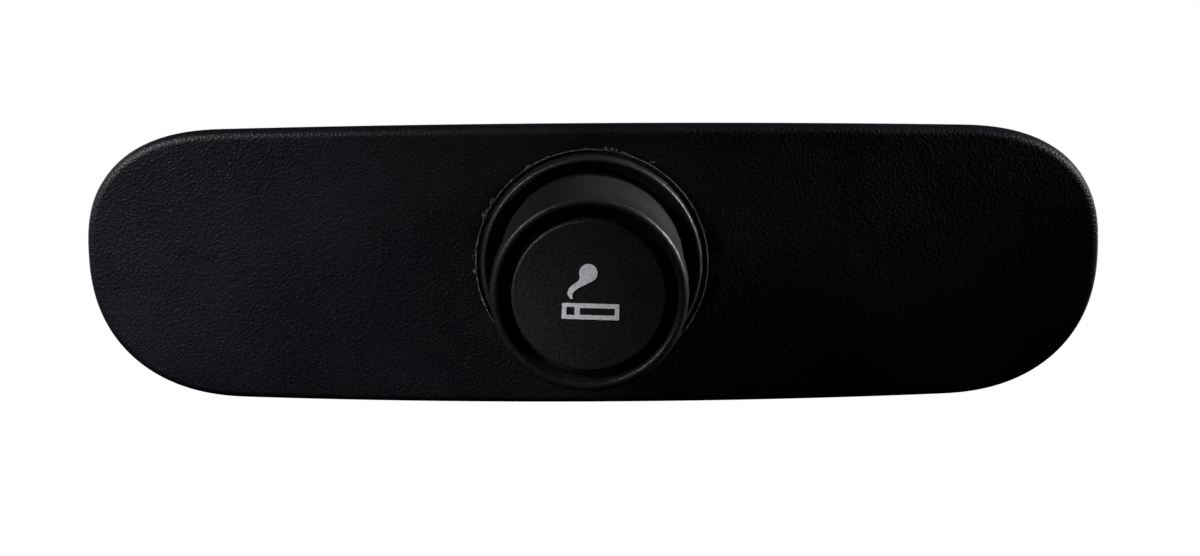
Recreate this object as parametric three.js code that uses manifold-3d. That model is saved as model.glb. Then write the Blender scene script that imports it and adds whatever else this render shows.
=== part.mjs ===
// Dashboard cigarette lighter: a pull-out plug with a push-in knob, in a socket clamped through a
// leather-covered trim panel. Millimetres, +Z up, X along the panel. The front faces -Y. The panel's
// rear seating face is Y = 0, and the origin lies there on the axis of the socket.
//
// Names: a ..._FRONT or ..._REAR value is a place along Y, a ..._RADIUS is measured from the Y axis.

import * as THREE from 'three';
import { mergeVertices } from 'three/addons/utils/BufferGeometryUtils.js';
import Module from 'manifold-3d';

const wasm = await Module();
wasm.setup();

// ---------------------------------------------------------------- driving dimensions

// Panel outline. Its two ends are widest a little above the socket axis.
const PANEL_LENGTH = 144;
const PANEL_TOP = 19.8;
const PANEL_BOTTOM = 20.85;
const PANEL_END_HEIGHT = 2;
const TOP_CORNER = { length: 20, roundness: 2.476, crown: 1 };
const BOTTOM_CORNER = { length: 22.15, roundness: 2.35, crown: 2 };

// Panel layers
const PLATE_THICKNESS = 2.5;
const COVER_THICKNESS = 1;
const HEM_WIDTH = 4;
const COVER_FIT = 0.1;

// Studs that hold the panel to a dashboard sheet
const STUD_SPACING = 112;
const STUD_RADIUS = 2;
const STUD_LENGTH = 14;
const STUD_HEAD = { radius: 4, thickness: 1 };
const STUD_WASHER = { radius: 4.5, thickness: 0.8 };
const STUD_NUT = { acrossFlats: 7, thickness: 3.2 };
const SHEET_GRIP = 2;
const HOLE_CLEARANCE = 0.25;
const THREAD_FIT = 0.15;

// Socket barrel
const BARREL_BORE = 10.5;
const BARREL_WALL = 0.7;
const BARREL_DEPTH = 34.3;
const BARREL_FLANGE = { width: 1.7, thickness: 0.8 };
const BARREL_FIT = 0.4;

// Collar
const COLLAR_RECESS_FIT = 0.6;
const COLLAR_WALL = 1.2;
const COLLAR_FLANGE_WIDTH = 1.6;
const COLLAR_SHOULDER = 1.5;
const COLLAR_RIDGE = { inset: 1, height: 1.5, round: 0.4 };
const COLLAR_EDGE = { sunk: 0.5, width: 0.5 };
const COLLAR_MOUTH = 0.6;

// Clamp behind the panel
const CLAMP_WALL = 0.8;
const CLAMP_RIM = { width: 1.2, thickness: 1 };
const CLAMP_FIT = 0.5;
const CLAMP_NECK = { fit: 0.8, setback: 2, taper: 3 };
const RING_NUT = { width: 1.9, thickness: 4, notchWidth: 3, notchDepth: 0.9 };
const BARREL_TAIL = 14.3;

// Live contact at the rear of the socket
const CONTACT_RADIUS = 2.4;
const CONTACT_HEAD = { radius: 4.5, thickness: 0.8 };
const CONTACT_THREAD_END = 2;
const INSULATOR = { thickness: 1.5, hubWall: 1.55, outerRadius: 9 };
const CLIP = { sheet: 0.5, base: 0.6, reach: 4.8, slot: 9, cupFit: 0.4 };
const LOCK_WASHER = { radius: 4.6, thickness: 0.8 };
const TERMINAL_NUT = { acrossFlats: 8, thickness: 4 };

// Blade terminals
const BLADE = { width: 6.3, thickness: 0.8, length: 12.5 };
const EARTH_EYELET = { width: 1.7, bladeGap: 0.7 };
const LIVE_EYELET = { width: 2.85, bladeGap: 2.5 };

// Knob. At rest its skirt reaches a little way behind the front of the cover.
const PUSH_TRAVEL = 5;
const PUSH_STOP_GAP = 0.4;
const SKIRT_COVERED = 0.5;
const KNOB_LENGTH = 19;
const KNOB_RUNNING_FIT = 0.4;
const KNOB_STEP = 0.6;
const KNOB_RIM = { length: 4.8, width: 1.8, lipRound: 0.7, dish: 2 };
const KNOB_GROOVE = { width: 1.2, depth: 3.2 };
const KNOB_WALL = 1.6;
const KNOB_FLOOR = 1.8;
const FACE_EDGE_ROUND = 0.3;
const BOSS_WALL = 1.9;
const BOSS_RECESS = 0.5;
const INSERT = { wall: 2, length: 7.5, setback: 6 };

// Symbol on the knob's face, and how far the knob stands turned
const PRINT_THICKNESS = 0.12;
const PRINT_STROKE = 0.62;
const KNOB_TURN = THREE.MathUtils.degToRad(2);
const CIGARETTE = { x: 0.26, z: -2.2, length: 7.9, height: 2.25, tip: 1.12, divider: 0.72 };
const SMOKE = { x: -0.16, z: 3.27, radius: 1.27 };

// Rod, spring and guard sleeve
const ROD_RADIUS = 2.4;
const ROD_FRONT_GAP = 1.5;
const ROD_FIT = 0.1;
const ROD_RUNNING_FIT = 0.5;
const ROD_CLIP = { width: 1.9, thickness: 0.8 };
const THRUST_WASHER = { margin: 1.3, thickness: 0.8 };
const SPRING = { rodGap: 2.4, wire: 0.4, turns: 6, length: 16.2, endGap: 0.05 };
const SLEEVE_FIT = 0.3;
const SLEEVE_WALL = 0.5;
const SLEEVE_FLANGE = { width: 2.2, thickness: 0.8 };
const SLEEVE_CLIP_GAP = 1.2;
const WEB_THICKNESS = 0.8;
const SLEEVE_WINDOW = { width: 8, setback: 3.2, length: 7 };

// Heater
const CUP = { wall: 0.6, depth: 5.8, sleeveFit: 1.3, contactGap: 0.6 };
const CERAMIC = { radius: 5, thickness: 2.4 };
const RIVET = { radius: 1.2, head: 2.2, headThickness: 0.8, grip: 3.6, fit: 0.2 };
const COIL = { turns: 4, ribbon: 0.35, height: 2.4, gap: 0.3, sideGap: 0.5 };

// Facets on full circles. Both are multiples of four.
const LARGE_ROUND = 40;
const SMALL_ROUND = 16;

// ---------------------------------------------------------------- places worked out from them

const PLATE_FRONT = -PLATE_THICKNESS;
const COVER_FRONT = PLATE_FRONT - COVER_THICKNESS;
const HEM_FRONT = -COVER_THICKNESS;

const BARREL_RADIUS = BARREL_BORE + BARREL_WALL;
const BARREL_FLANGE_RADIUS = BARREL_RADIUS + BARREL_FLANGE.width;
const BARREL_HOLE = BARREL_RADIUS + BARREL_FIT;

const KNOB_REAR = COVER_FRONT + SKIRT_COVERED;
const KNOB_FRONT = KNOB_REAR - KNOB_LENGTH;
const SLEEVE_FRONT = KNOB_REAR + PUSH_TRAVEL + PUSH_STOP_GAP;
const BARREL_FRONT = SLEEVE_FRONT + SLEEVE_FLANGE.thickness;
const BARREL_SEAT = BARREL_FRONT + BARREL_FLANGE.thickness;
const BARREL_FLOOR_FRONT = BARREL_FRONT + BARREL_DEPTH;
const BARREL_REAR = BARREL_FLOOR_FRONT + BARREL_FLANGE.thickness;

const COLLAR_BORE = BARREL_FLANGE_RADIUS + COLLAR_RECESS_FIT;
const COLLAR_TUBE_RADIUS = COLLAR_BORE + COLLAR_WALL;
const COLLAR_RADIUS = COLLAR_TUBE_RADIUS + COLLAR_FLANGE_WIDTH;
const COLLAR_REAR = BARREL_SEAT + COLLAR_SHOULDER;

const CLAMP_BORE = COLLAR_TUBE_RADIUS + CLAMP_FIT;
const CLAMP_RADIUS = CLAMP_BORE + CLAMP_WALL;
const CLAMP_RIM_RADIUS = CLAMP_RADIUS + CLAMP_RIM.width;
const CLAMP_PAD_RADIUS = CLAMP_RIM_RADIUS + HOLE_CLEARANCE;
const RING_NUT_BORE = BARREL_RADIUS + THREAD_FIT;
const RING_NUT_REAR = BARREL_REAR - BARREL_TAIL;
const RING_NUT_FRONT = RING_NUT_REAR - RING_NUT.thickness;
const CLAMP_REAR = RING_NUT_FRONT - BLADE.thickness;
const CLAMP_NECK_BORE = BARREL_RADIUS + CLAMP_NECK.fit;
const CLAMP_NECK_RADIUS = CLAMP_NECK_BORE + CLAMP_WALL;
const CLAMP_TAPER_FRONT = COLLAR_REAR + CLAMP_NECK.setback;
const CLAMP_TAPER_REAR = CLAMP_TAPER_FRONT + CLAMP_NECK.taper;

const CONTACT_HOLE = CONTACT_RADIUS + HOLE_CLEARANCE;
const INSULATOR_HUB = CONTACT_HOLE + INSULATOR.hubWall;
const CLIP_REAR = BARREL_FLOOR_FRONT - INSULATOR.thickness;
const CLIP_BASE_FRONT = CLIP_REAR - CLIP.base;
const CLIP_FRONT = CLIP_REAR - CLIP.reach;
const CONTACT_FRONT = CLIP_BASE_FRONT - CONTACT_HEAD.thickness;
const OUTER_INSULATOR_REAR = BARREL_REAR + INSULATOR.thickness;
const LIVE_TAB_REAR = OUTER_INSULATOR_REAR + BLADE.thickness;
const LOCK_WASHER_REAR = LIVE_TAB_REAR + LOCK_WASHER.thickness;
const TERMINAL_NUT_REAR = LOCK_WASHER_REAR + TERMINAL_NUT.thickness;

const SLEEVE_RADIUS = BARREL_BORE - SLEEVE_FIT;
const SLEEVE_BORE = SLEEVE_RADIUS - SLEEVE_WALL;
const SLEEVE_REAR = CLIP_FRONT - SLEEVE_CLIP_GAP;

const SKIRT_RADIUS = COLLAR_BORE - KNOB_RUNNING_FIT;
const KNOB_RADIUS = SKIRT_RADIUS + KNOB_STEP;
const KNOB_FLOOR_FRONT = KNOB_FRONT + KNOB_GROOVE.depth;
const KNOB_FLOOR_REAR = KNOB_FLOOR_FRONT + KNOB_FLOOR;
const GROOVE_RADIUS = KNOB_RADIUS - KNOB_RIM.width;
const FACE_RADIUS = GROOVE_RADIUS - KNOB_GROOVE.width;

const INSERT_REAR = KNOB_REAR - INSERT.setback;
const INSERT_FRONT = INSERT_REAR - INSERT.length;
const INSERT_RADIUS = ROD_RADIUS + ROD_FIT + INSERT.wall;
const ROD_HOLE = ROD_RADIUS + ROD_RUNNING_FIT;
const SPRING_RADIUS = ROD_RADIUS + SPRING.rodGap + SPRING.wire;
const SPRING_FRONT = INSERT_REAR + THRUST_WASHER.thickness;
const WEB_FRONT = SPRING_FRONT + SPRING.length;
const WEB_REAR = WEB_FRONT + WEB_THICKNESS;

const CUP_RADIUS = SLEEVE_BORE - CUP.sleeveFit;
const CUP_BORE = CUP_RADIUS - CUP.wall;
const CUP_REAR = CONTACT_FRONT - CUP.contactGap - PUSH_TRAVEL;
const CUP_FLOOR_REAR = CUP_REAR - CUP.depth;
const CUP_FRONT = CUP_FLOOR_REAR - CUP.wall;
const CLIP_BORE = CUP_RADIUS + CLIP.cupFit;
const ROD_REAR = CUP_FRONT - CERAMIC.thickness;
const RIVET_HOLE = RIVET.radius + RIVET.fit;
const RIVET_POCKET_FRONT = ROD_REAR - RIVET.grip;

// ---------------------------------------------------------------- building blocks

// Points of a circular arc in a [radius, y] profile, both ends included.
function arc(centreRadius, centreY, round, startDegrees, endDegrees, steps) {
  return Array.from({ length: steps + 1 }, (_, i) => {
    const angle = THREE.MathUtils.degToRad(THREE.MathUtils.lerp(startDegrees, endDegrees, i / steps));
    return [centreRadius + round * Math.cos(angle), centreY + round * Math.sin(angle)];
  });
}

// A solid turned about the Y axis from a [radius, y] profile. A profile that stays off the axis is
// closed into a ring.
function turned(profile, facets) {
  const points = profile.map(([radius, y]) => new THREE.Vector2(radius, y));
  if (THREE.ShapeUtils.isClockWise(points)) points.reverse();
  const onAxis = points.some((point) => point.x === 0);
  if (onAxis) {
    const start = points.findIndex((point, i) => point.x === 0 && points.at(i - 1).x === 0);
    points.push(...points.splice(0, start));
  } else {
    points.push(points[0].clone());
  }
  return new THREE.LatheGeometry(points, facets);
}

// A flat ring or disc between two places along Y.
function ring(innerRadius, outerRadius, front, rear, facets) {
  const profile = [[innerRadius, front], [outerRadius, front], [outerRadius, rear], [innerRadius, rear]];
  return turned(profile, facets);
}

// A slab whose outline is a shape in X and Z, between two places along Y.
function slab(shape, front, rear) {
  const settings = { depth: rear - front, bevelEnabled: false, curveSegments: SMALL_ROUND / 2 };
  return new THREE.ExtrudeGeometry(shape, settings).rotateX(Math.PI / 2).translate(0, rear, 0);
}

// A box between two corners.
function block(low, high) {
  const size = high.map((value, i) => value - low[i]);
  const centre = high.map((value, i) => (value + low[i]) / 2);
  return new THREE.BoxGeometry(...size).translate(...centre);
}

function roundHole(radius) {
  return new THREE.Path().absarc(0, 0, radius, 0, 2 * Math.PI, true);
}

function hexagonShape(acrossFlats) {
  const cornerRadius = acrossFlats / Math.sqrt(3);
  const corners = Array.from({ length: 6 }, (_, i) => {
    const angle = (i * Math.PI) / 3;
    return new THREE.Vector2(cornerRadius * Math.cos(angle), cornerRadius * Math.sin(angle));
  });
  return new THREE.Shape(corners);
}

function toManifold(geometry) {
  const bare = geometry.clone();
  bare.deleteAttribute('normal');
  bare.deleteAttribute('uv');
  const merged = mergeVertices(bare);
  const triangles = [];
  for (let i = 0; i < merged.index.count; i += 3) {
    const [a, b, c] = merged.index.array.slice(i, i + 3);
    if (a !== b && b !== c && c !== a) triangles.push(a, b, c);
  }
  const vertProperties = merged.attributes.position.array;
  const triVerts = Uint32Array.from(triangles);
  return new wasm.Manifold(new wasm.Mesh({ numProp: 3, vertProperties, triVerts }));
}

function toGeometry(manifold) {
  const { vertProperties, triVerts } = manifold.getMesh();
  const geometry = new THREE.BufferGeometry();
  geometry.setAttribute('position', new THREE.BufferAttribute(vertProperties, 3));
  geometry.setIndex(new THREE.BufferAttribute(triVerts, 1));
  geometry.computeVertexNormals();
  return geometry;
}

function cut(body, ...tools) {
  return toGeometry(tools.reduce((solid, tool) => solid.subtract(toManifold(tool)), toManifold(body)));
}

function join(...bodies) {
  const [first, ...others] = bodies.map(toManifold);
  return toGeometry(others.reduce((solid, other) => solid.add(other), first));
}

function part(name, geometry, look) {
  const mesh = new THREE.Mesh(geometry, new THREE.MeshStandardMaterial(look));
  mesh.name = name;
  return mesh;
}

const LEATHER = { color: 0x15151b, roughness: 0.6, metalness: 0 };
const BLACK_PLASTIC = { color: 0x18181a, roughness: 0.45, metalness: 0 };
const PRINT_INK = { color: 0xc9ccd2, roughness: 0.6, metalness: 0 };
const ALUMINIUM = { color: 0xa9abae, roughness: 0.45, metalness: 1 };
const ZINC_STEEL = { color: 0xb4b6b4, roughness: 0.35, metalness: 1 };
const NICKEL = { color: 0xc6c4bd, roughness: 0.25, metalness: 1 };
const BRASS = { color: 0xb8955a, roughness: 0.35, metalness: 1 };
const FIBRE = { color: 0x6d4a33, roughness: 0.8, metalness: 0 };
const CERAMIC_WHITE = { color: 0xe2ddd2, roughness: 0.6, metalness: 0 };
const HEATER_ALLOY = { color: 0x6a6662, roughness: 0.5, metalness: 1 };

// ---------------------------------------------------------------- panel

// The panel's outline, drawn in by an inset all round. Along the middle the edges are shallow crowns,
// and each corner is a quarter of a superellipse.
function panelShape(inset) {
  const halfLength = PANEL_LENGTH / 2 - inset;
  const cornerSteps = 14;
  const crownSteps = 4;

  // Points from the end of the panel to the middle of one edge, on the right.
  function quarter(rise, corner) {
    const straight = halfLength - corner.length + inset;
    const heightAt = (x) => rise - inset - corner.crown * (x / halfLength) ** 2;
    const points = [];
    for (let i = 0; i <= cornerSteps; i += 1) {
      const angle = (i / cornerSteps) * (Math.PI / 2);
      const x = straight + (corner.length - inset) * Math.cos(angle) ** (2 / corner.roundness);
      points.push([x, heightAt(x) * Math.sin(angle) ** (2 / corner.roundness)]);
    }
    for (let i = 1; i <= crownSteps; i += 1) {
      const x = straight * (1 - i / crownSteps);
      points.push([x, heightAt(x)]);
    }
    return points;
  }

  const top = quarter(PANEL_TOP - PANEL_END_HEIGHT, TOP_CORNER);
  const bottom = quarter(PANEL_BOTTOM + PANEL_END_HEIGHT, BOTTOM_CORNER).map(([x, z]) => [x, -z]);
  const mirrored = (points) => points.map(([x, z]) => [-x, z]).reverse();
  const outline = [
    ...top,
    ...mirrored(top).slice(1),
    ...bottom.map(([x, z]) => [-x, z]).slice(1),
    ...mirrored(bottom.map(([x, z]) => [-x, z])).slice(1, -1),
  ];
  return new THREE.Shape(outline.map(([x, z]) => new THREE.Vector2(x, z + PANEL_END_HEIGHT)));
}

function withHole(shape, radius) {
  shape.holes.push(roundHole(radius));
  return shape;
}

// Leather skin: front, wrapped edge, and a hem turned in behind the plate's rim and trimmed round
// the clamp's pad.
function grainedCover() {
  const skin = slab(panelShape(0), COVER_FRONT, 0);
  const pocket = slab(panelShape(COVER_THICKNESS), PLATE_FRONT, HEM_FRONT);
  const rearOpening = slab(panelShape(COVER_THICKNESS + HEM_WIDTH), HEM_FRONT, 1);
  const collarHole = ring(0, COLLAR_RADIUS + COVER_FIT, COVER_FRONT - 1, PLATE_FRONT + 1, LARGE_ROUND);
  const padHole = ring(0, CLAMP_PAD_RADIUS + COVER_FIT, HEM_FRONT, 1, LARGE_ROUND);
  return part('grained_cover', cut(skin, pocket, rearOpening, collarHole, padHole), LEATHER);
}

// Stiff plate. Its rear rim is rebated for the hem, a round pad at the back takes the clamp's rim, and
// its front is counterbored for the stud heads.
function backingPlate() {
  const rim = slab(panelShape(COVER_THICKNESS + COVER_FIT), PLATE_FRONT, HEM_FRONT);
  const raised = slab(panelShape(COVER_THICKNESS + HEM_WIDTH + COVER_FIT), PLATE_FRONT, 0);
  const pad = ring(0, CLAMP_PAD_RADIUS, PLATE_FRONT, 0, LARGE_ROUND);
  const socketHole = ring(0, COLLAR_TUBE_RADIUS + HOLE_CLEARANCE, PLATE_FRONT - 1, 1, LARGE_ROUND);
  const studHoles = [-1, 1].flatMap((side) => {
    const shank = ring(0, STUD_RADIUS + HOLE_CLEARANCE, PLATE_FRONT - 1, 1, SMALL_ROUND);
    const headRadius = STUD_HEAD.radius + HOLE_CLEARANCE;
    const head = ring(0, headRadius, PLATE_FRONT - 1, PLATE_FRONT + STUD_HEAD.thickness, SMALL_ROUND);
    return [shank, head].map((tool) => tool.translate((side * STUD_SPACING) / 2, 0, 0));
  });
  return part('backing_plate', cut(join(rim, raised, pad), socketHole, ...studHoles), ALUMINIUM);
}

// One stud with its washer and nut. The gap between plate and washer is for the dashboard's sheet.
function studSet(side, label) {
  const set = new THREE.Group();
  const neck = PLATE_FRONT + STUD_HEAD.thickness;
  const stud = turned([
    [0, PLATE_FRONT], [STUD_HEAD.radius, PLATE_FRONT], [STUD_HEAD.radius, neck],
    [STUD_RADIUS, neck], [STUD_RADIUS, STUD_LENGTH], [0, STUD_LENGTH],
  ], SMALL_ROUND);
  const hole = STUD_RADIUS + HOLE_CLEARANCE;
  const washerRear = SHEET_GRIP + STUD_WASHER.thickness;
  const washer = ring(hole, STUD_WASHER.radius, SHEET_GRIP, washerRear, SMALL_ROUND);
  const nutShape = withHole(hexagonShape(STUD_NUT.acrossFlats), STUD_RADIUS + THREAD_FIT);
  const nut = slab(nutShape, washerRear, washerRear + STUD_NUT.thickness);
  set.add(part(`mounting_stud_${label}`, stud, ZINC_STEEL));
  set.add(part(`stud_washer_${label}`, washer, ZINC_STEEL));
  set.add(part(`stud_nut_${label}`, nut, ZINC_STEEL));
  set.position.x = (side * STUD_SPACING) / 2;
  return set;
}

// ---------------------------------------------------------------- socket

// Collar: a flange, sunk a little below the leather round it, with a rounded ridge round the knob, and
// a tube with an inward shoulder behind.
function collar() {
  const ridgeRadius = COLLAR_RADIUS - COLLAR_RIDGE.inset;
  const ridgeCentre = COVER_FRONT - COLLAR_RIDGE.height + COLLAR_RIDGE.round;
  const profile = [
    [COLLAR_RADIUS, PLATE_FRONT],
    [COLLAR_RADIUS, COVER_FRONT + COLLAR_EDGE.sunk],
    [COLLAR_RADIUS - COLLAR_EDGE.width, COVER_FRONT + COLLAR_EDGE.sunk],
    ...arc(ridgeRadius, ridgeCentre, COLLAR_RIDGE.round, -10, -125, 5),
    [COLLAR_BORE + COLLAR_MOUTH, COVER_FRONT],
    [COLLAR_BORE, COVER_FRONT + COLLAR_MOUTH],
    [COLLAR_BORE, BARREL_SEAT],
    [BARREL_HOLE, BARREL_SEAT],
    [BARREL_HOLE, COLLAR_REAR],
    [COLLAR_TUBE_RADIUS, COLLAR_REAR],
    [COLLAR_TUBE_RADIUS, PLATE_FRONT],
  ];
  return part('collar', turned(profile, LARGE_ROUND), BLACK_PLASTIC);
}

function socketBarrel() {
  const profile = [
    [BARREL_BORE, BARREL_FRONT],
    [BARREL_FLANGE_RADIUS, BARREL_FRONT],
    [BARREL_FLANGE_RADIUS, BARREL_SEAT],
    [BARREL_RADIUS, BARREL_SEAT],
    [BARREL_RADIUS, BARREL_REAR],
    [INSULATOR_HUB + HOLE_CLEARANCE, BARREL_REAR],
    [INSULATOR_HUB + HOLE_CLEARANCE, BARREL_FLOOR_FRONT],
    [BARREL_BORE, BARREL_FLOOR_FRONT],
  ];
  return part('socket_barrel', turned(profile, LARGE_ROUND), NICKEL);
}

// Clamp sleeve: its rim presses on the back of the plate and its floor is pulled up by the ring nut.
// Behind the collar it narrows to a neck round the barrel.
function clampSleeve() {
  const profile = [
    [CLAMP_BORE, 0],
    [CLAMP_RIM_RADIUS, 0],
    [CLAMP_RIM_RADIUS, CLAMP_RIM.thickness],
    [CLAMP_RADIUS, CLAMP_RIM.thickness],
    [CLAMP_RADIUS, CLAMP_TAPER_FRONT],
    [CLAMP_NECK_RADIUS, CLAMP_TAPER_REAR],
    [CLAMP_NECK_RADIUS, CLAMP_REAR],
    [BARREL_HOLE, CLAMP_REAR],
    [BARREL_HOLE, CLAMP_REAR - CLAMP_WALL],
    [CLAMP_NECK_BORE, CLAMP_REAR - CLAMP_WALL],
    [CLAMP_NECK_BORE, CLAMP_TAPER_REAR],
    [CLAMP_BORE, CLAMP_TAPER_FRONT],
  ];
  return part('clamp_sleeve', turned(profile, LARGE_ROUND), ZINC_STEEL);
}

// Ring nut on the barrel's thread, with four notches for a peg wrench.
function ringNut() {
  const outer = RING_NUT_BORE + RING_NUT.width;
  const body = ring(RING_NUT_BORE, outer, RING_NUT_FRONT, RING_NUT_REAR, LARGE_ROUND);
  const half = RING_NUT.notchWidth / 2;
  const notches = [0, 1, 2, 3].map((quarter) => {
    const low = [outer - RING_NUT.notchDepth, RING_NUT_FRONT - 1, -half];
    const high = [outer + 1, RING_NUT_REAR + 1, half];
    return block(low, high).rotateY((quarter * Math.PI) / 2);
  });
  return part('ring_nut', cut(body, ...notches), ZINC_STEEL);
}

// An eyelet with a flat blade bent back from it, above the axis or, turned over, below it.
function bladeTerminal(name, holeRadius, eyeletRadius, bladeHeight, front) {
  const rear = front + BLADE.thickness;
  const half = BLADE.width / 2;
  const eyelet = ring(holeRadius, eyeletRadius, front, rear, SMALL_ROUND);
  const neck = block([-half, front, (holeRadius + eyeletRadius) / 2], [half, rear, bladeHeight]);
  const low = [-half, front, bladeHeight - BLADE.thickness];
  const blade = block(low, [half, rear + BLADE.length, bladeHeight]);
  return part(name, join(eyelet, neck, blade), BRASS);
}

// Earth blade under the ring nut. It hangs below the axis, clear of the clamp sleeve.
function groundTab() {
  const eyeletRadius = BARREL_HOLE + EARTH_EYELET.width;
  const bladeHeight = CLAMP_RADIUS + EARTH_EYELET.bladeGap + BLADE.thickness;
  const tab = bladeTerminal('ground_tab', BARREL_HOLE, eyeletRadius, bladeHeight, CLAMP_REAR);
  tab.rotation.y = Math.PI;
  return tab;
}

function powerTab() {
  const eyeletRadius = CONTACT_HOLE + LIVE_EYELET.width;
  const bladeHeight = eyeletRadius + LIVE_EYELET.bladeGap;
  return bladeTerminal('power_tab', CONTACT_HOLE, eyeletRadius, bladeHeight, OUTER_INSULATOR_REAR);
}

// ---------------------------------------------------------------- live contact

// Insulator inside the barrel, with a hub that centres the contact in the barrel's floor.
function innerInsulator() {
  const profile = [
    [CONTACT_HOLE, CLIP_REAR],
    [SLEEVE_BORE, CLIP_REAR],
    [SLEEVE_BORE, BARREL_FLOOR_FRONT],
    [INSULATOR_HUB, BARREL_FLOOR_FRONT],
    [INSULATOR_HUB, BARREL_REAR],
    [CONTACT_HOLE, BARREL_REAR],
  ];
  return part('inner_insulator', turned(profile, LARGE_ROUND), FIBRE);
}

function outerInsulator() {
  const disc = ring(CONTACT_HOLE, INSULATOR.outerRadius, BARREL_REAR, OUTER_INSULATOR_REAR, LARGE_ROUND);
  return part('outer_insulator', disc, FIBRE);
}

// Bimetal clip: a pressed cup slotted into four fingers that grip the heater cup.
function bimetalClip() {
  const outer = CLIP_BORE + CLIP.sheet;
  const pressing = turned([
    [CLIP_BORE, CLIP_FRONT],
    [outer, CLIP_FRONT],
    [outer, CLIP_REAR],
    [CONTACT_HOLE, CLIP_REAR],
    [CONTACT_HOLE, CLIP_BASE_FRONT],
    [CLIP_BORE, CLIP_BASE_FRONT],
  ], LARGE_ROUND);
  const half = CLIP.slot / 2;
  const across = block([-outer - 1, CLIP_FRONT - 1, -half], [outer + 1, CLIP_BASE_FRONT, half]);
  const upright = block([-half, CLIP_FRONT - 1, -outer - 1], [half, CLIP_BASE_FRONT, outer + 1]);
  return part('bimetal_clip', cut(pressing, across, upright), BRASS);
}

function contactStud() {
  const end = TERMINAL_NUT_REAR + CONTACT_THREAD_END;
  const profile = [
    [0, CONTACT_FRONT], [CONTACT_HEAD.radius, CONTACT_FRONT], [CONTACT_HEAD.radius, CLIP_BASE_FRONT],
    [CONTACT_RADIUS, CLIP_BASE_FRONT], [CONTACT_RADIUS, end], [0, end],
  ];
  return part('contact_stud', turned(profile, SMALL_ROUND), BRASS);
}

function contactFasteners() {
  const washer = ring(CONTACT_HOLE, LOCK_WASHER.radius, LIVE_TAB_REAR, LOCK_WASHER_REAR, SMALL_ROUND);
  const nutShape = withHole(hexagonShape(TERMINAL_NUT.acrossFlats), CONTACT_RADIUS + THREAD_FIT);
  const nut = slab(nutShape, LOCK_WASHER_REAR, TERMINAL_NUT_REAR);
  return [part('lock_washer', washer, ZINC_STEEL), part('terminal_nut', nut, BRASS)];
}

// ---------------------------------------------------------------- knob

// Knob shell: a cup with a rolled rim, a land dished in to a groove, and a boss for the brass insert.
function knobBody() {
  const lipRadius = KNOB_RADIUS - KNOB_RIM.lipRound;
  const lipCentre = KNOB_FRONT + KNOB_RIM.lipRound;
  const rimRear = KNOB_FRONT + KNOB_RIM.length;
  const skirtBore = SKIRT_RADIUS - KNOB_WALL;
  const pocket = INSERT_RADIUS + ROD_FIT;
  const bossRear = INSERT_REAR - BOSS_RECESS;
  const profile = [
    [0, KNOB_FLOOR_FRONT],
    [GROOVE_RADIUS, KNOB_FLOOR_FRONT],
    [GROOVE_RADIUS, KNOB_FRONT + KNOB_RIM.dish],
    ...arc(lipRadius, lipCentre, KNOB_RIM.lipRound, -150, 0, 6),
    [KNOB_RADIUS, rimRear],
    [SKIRT_RADIUS, rimRear + KNOB_STEP],
    [SKIRT_RADIUS, KNOB_REAR],
    [skirtBore, KNOB_REAR],
    [skirtBore, KNOB_FLOOR_REAR],
    [pocket + BOSS_WALL, KNOB_FLOOR_REAR],
    [pocket + BOSS_WALL, bossRear],
    [pocket, bossRear],
    [pocket, INSERT_FRONT],
    [0, INSERT_FRONT],
  ];
  return part('knob_body', turned(profile, LARGE_ROUND), BLACK_PLASTIC);
}

function faceDisc() {
  const edgeRadius = FACE_RADIUS - FACE_EDGE_ROUND;
  const edgeCentre = KNOB_FRONT + FACE_EDGE_ROUND;
  const profile = [
    [0, KNOB_FRONT],
    ...arc(edgeRadius, edgeCentre, FACE_EDGE_ROUND, -90, 0, 3),
    [FACE_RADIUS, KNOB_FLOOR_FRONT],
    [0, KNOB_FLOOR_FRONT],
  ];
  return part('face_disc', turned(profile, LARGE_ROUND), BLACK_PLASTIC);
}

// A cigarette drawn as a long box with a window for the tip and a window for the paper.
function symbolCigarette() {
  const left = CIGARETTE.x - CIGARETTE.length / 2;
  const right = CIGARETTE.x + CIGARETTE.length / 2;
  const low = CIGARETTE.z - CIGARETTE.height / 2;
  const high = CIGARETTE.z + CIGARETTE.height / 2;
  const tipLeft = left + PRINT_STROKE;
  const tipRight = tipLeft + CIGARETTE.tip;
  const front = KNOB_FRONT - PRINT_THICKNESS;
  const windows = [[tipLeft, tipRight], [tipRight + CIGARETTE.divider, right - PRINT_STROKE]];
  const openings = windows.map(([from, to]) => (
    block([from, front - 1, low + PRINT_STROKE], [to, KNOB_FRONT + 1, high - PRINT_STROKE])
  ));
  const box = block([left, front, low], [right, KNOB_FRONT, high]);
  return part('symbol_cigarette', cut(box, ...openings), PRINT_INK);
}

// A puff of smoke: a round head and a tail that curls down to the cigarette's tip. The tail's points
// are offsets from the middle of the head, in head radii.
function symbolSmoke() {
  const { x, z, radius } = SMOKE;
  const at = (right, up) => [x + right * radius, z + up * radius];
  const shape = new THREE.Shape();
  shape.absarc(x, z, radius, THREE.MathUtils.degToRad(205), THREE.MathUtils.degToRad(-60), true);
  shape.lineTo(...at(-0.98, -1.69));
  shape.quadraticCurveTo(...at(-1.65, -2.1), ...at(-1.68, -2.5));
  shape.lineTo(...at(-1.61, -2.85));
  shape.quadraticCurveTo(...at(-1.72, -3.01), ...at(-1.88, -2.93));
  shape.quadraticCurveTo(...at(-2.2, -2.65), ...at(-2.21, -2.3));
  shape.quadraticCurveTo(...at(-2.16, -1.79), ...at(-1.61, -1.35));
  shape.quadraticCurveTo(...at(-0.95, -0.92), ...at(-0.94, -0.64));
  return part('symbol_smoke', slab(shape, KNOB_FRONT - PRINT_THICKNESS, KNOB_FRONT), PRINT_INK);
}

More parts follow.
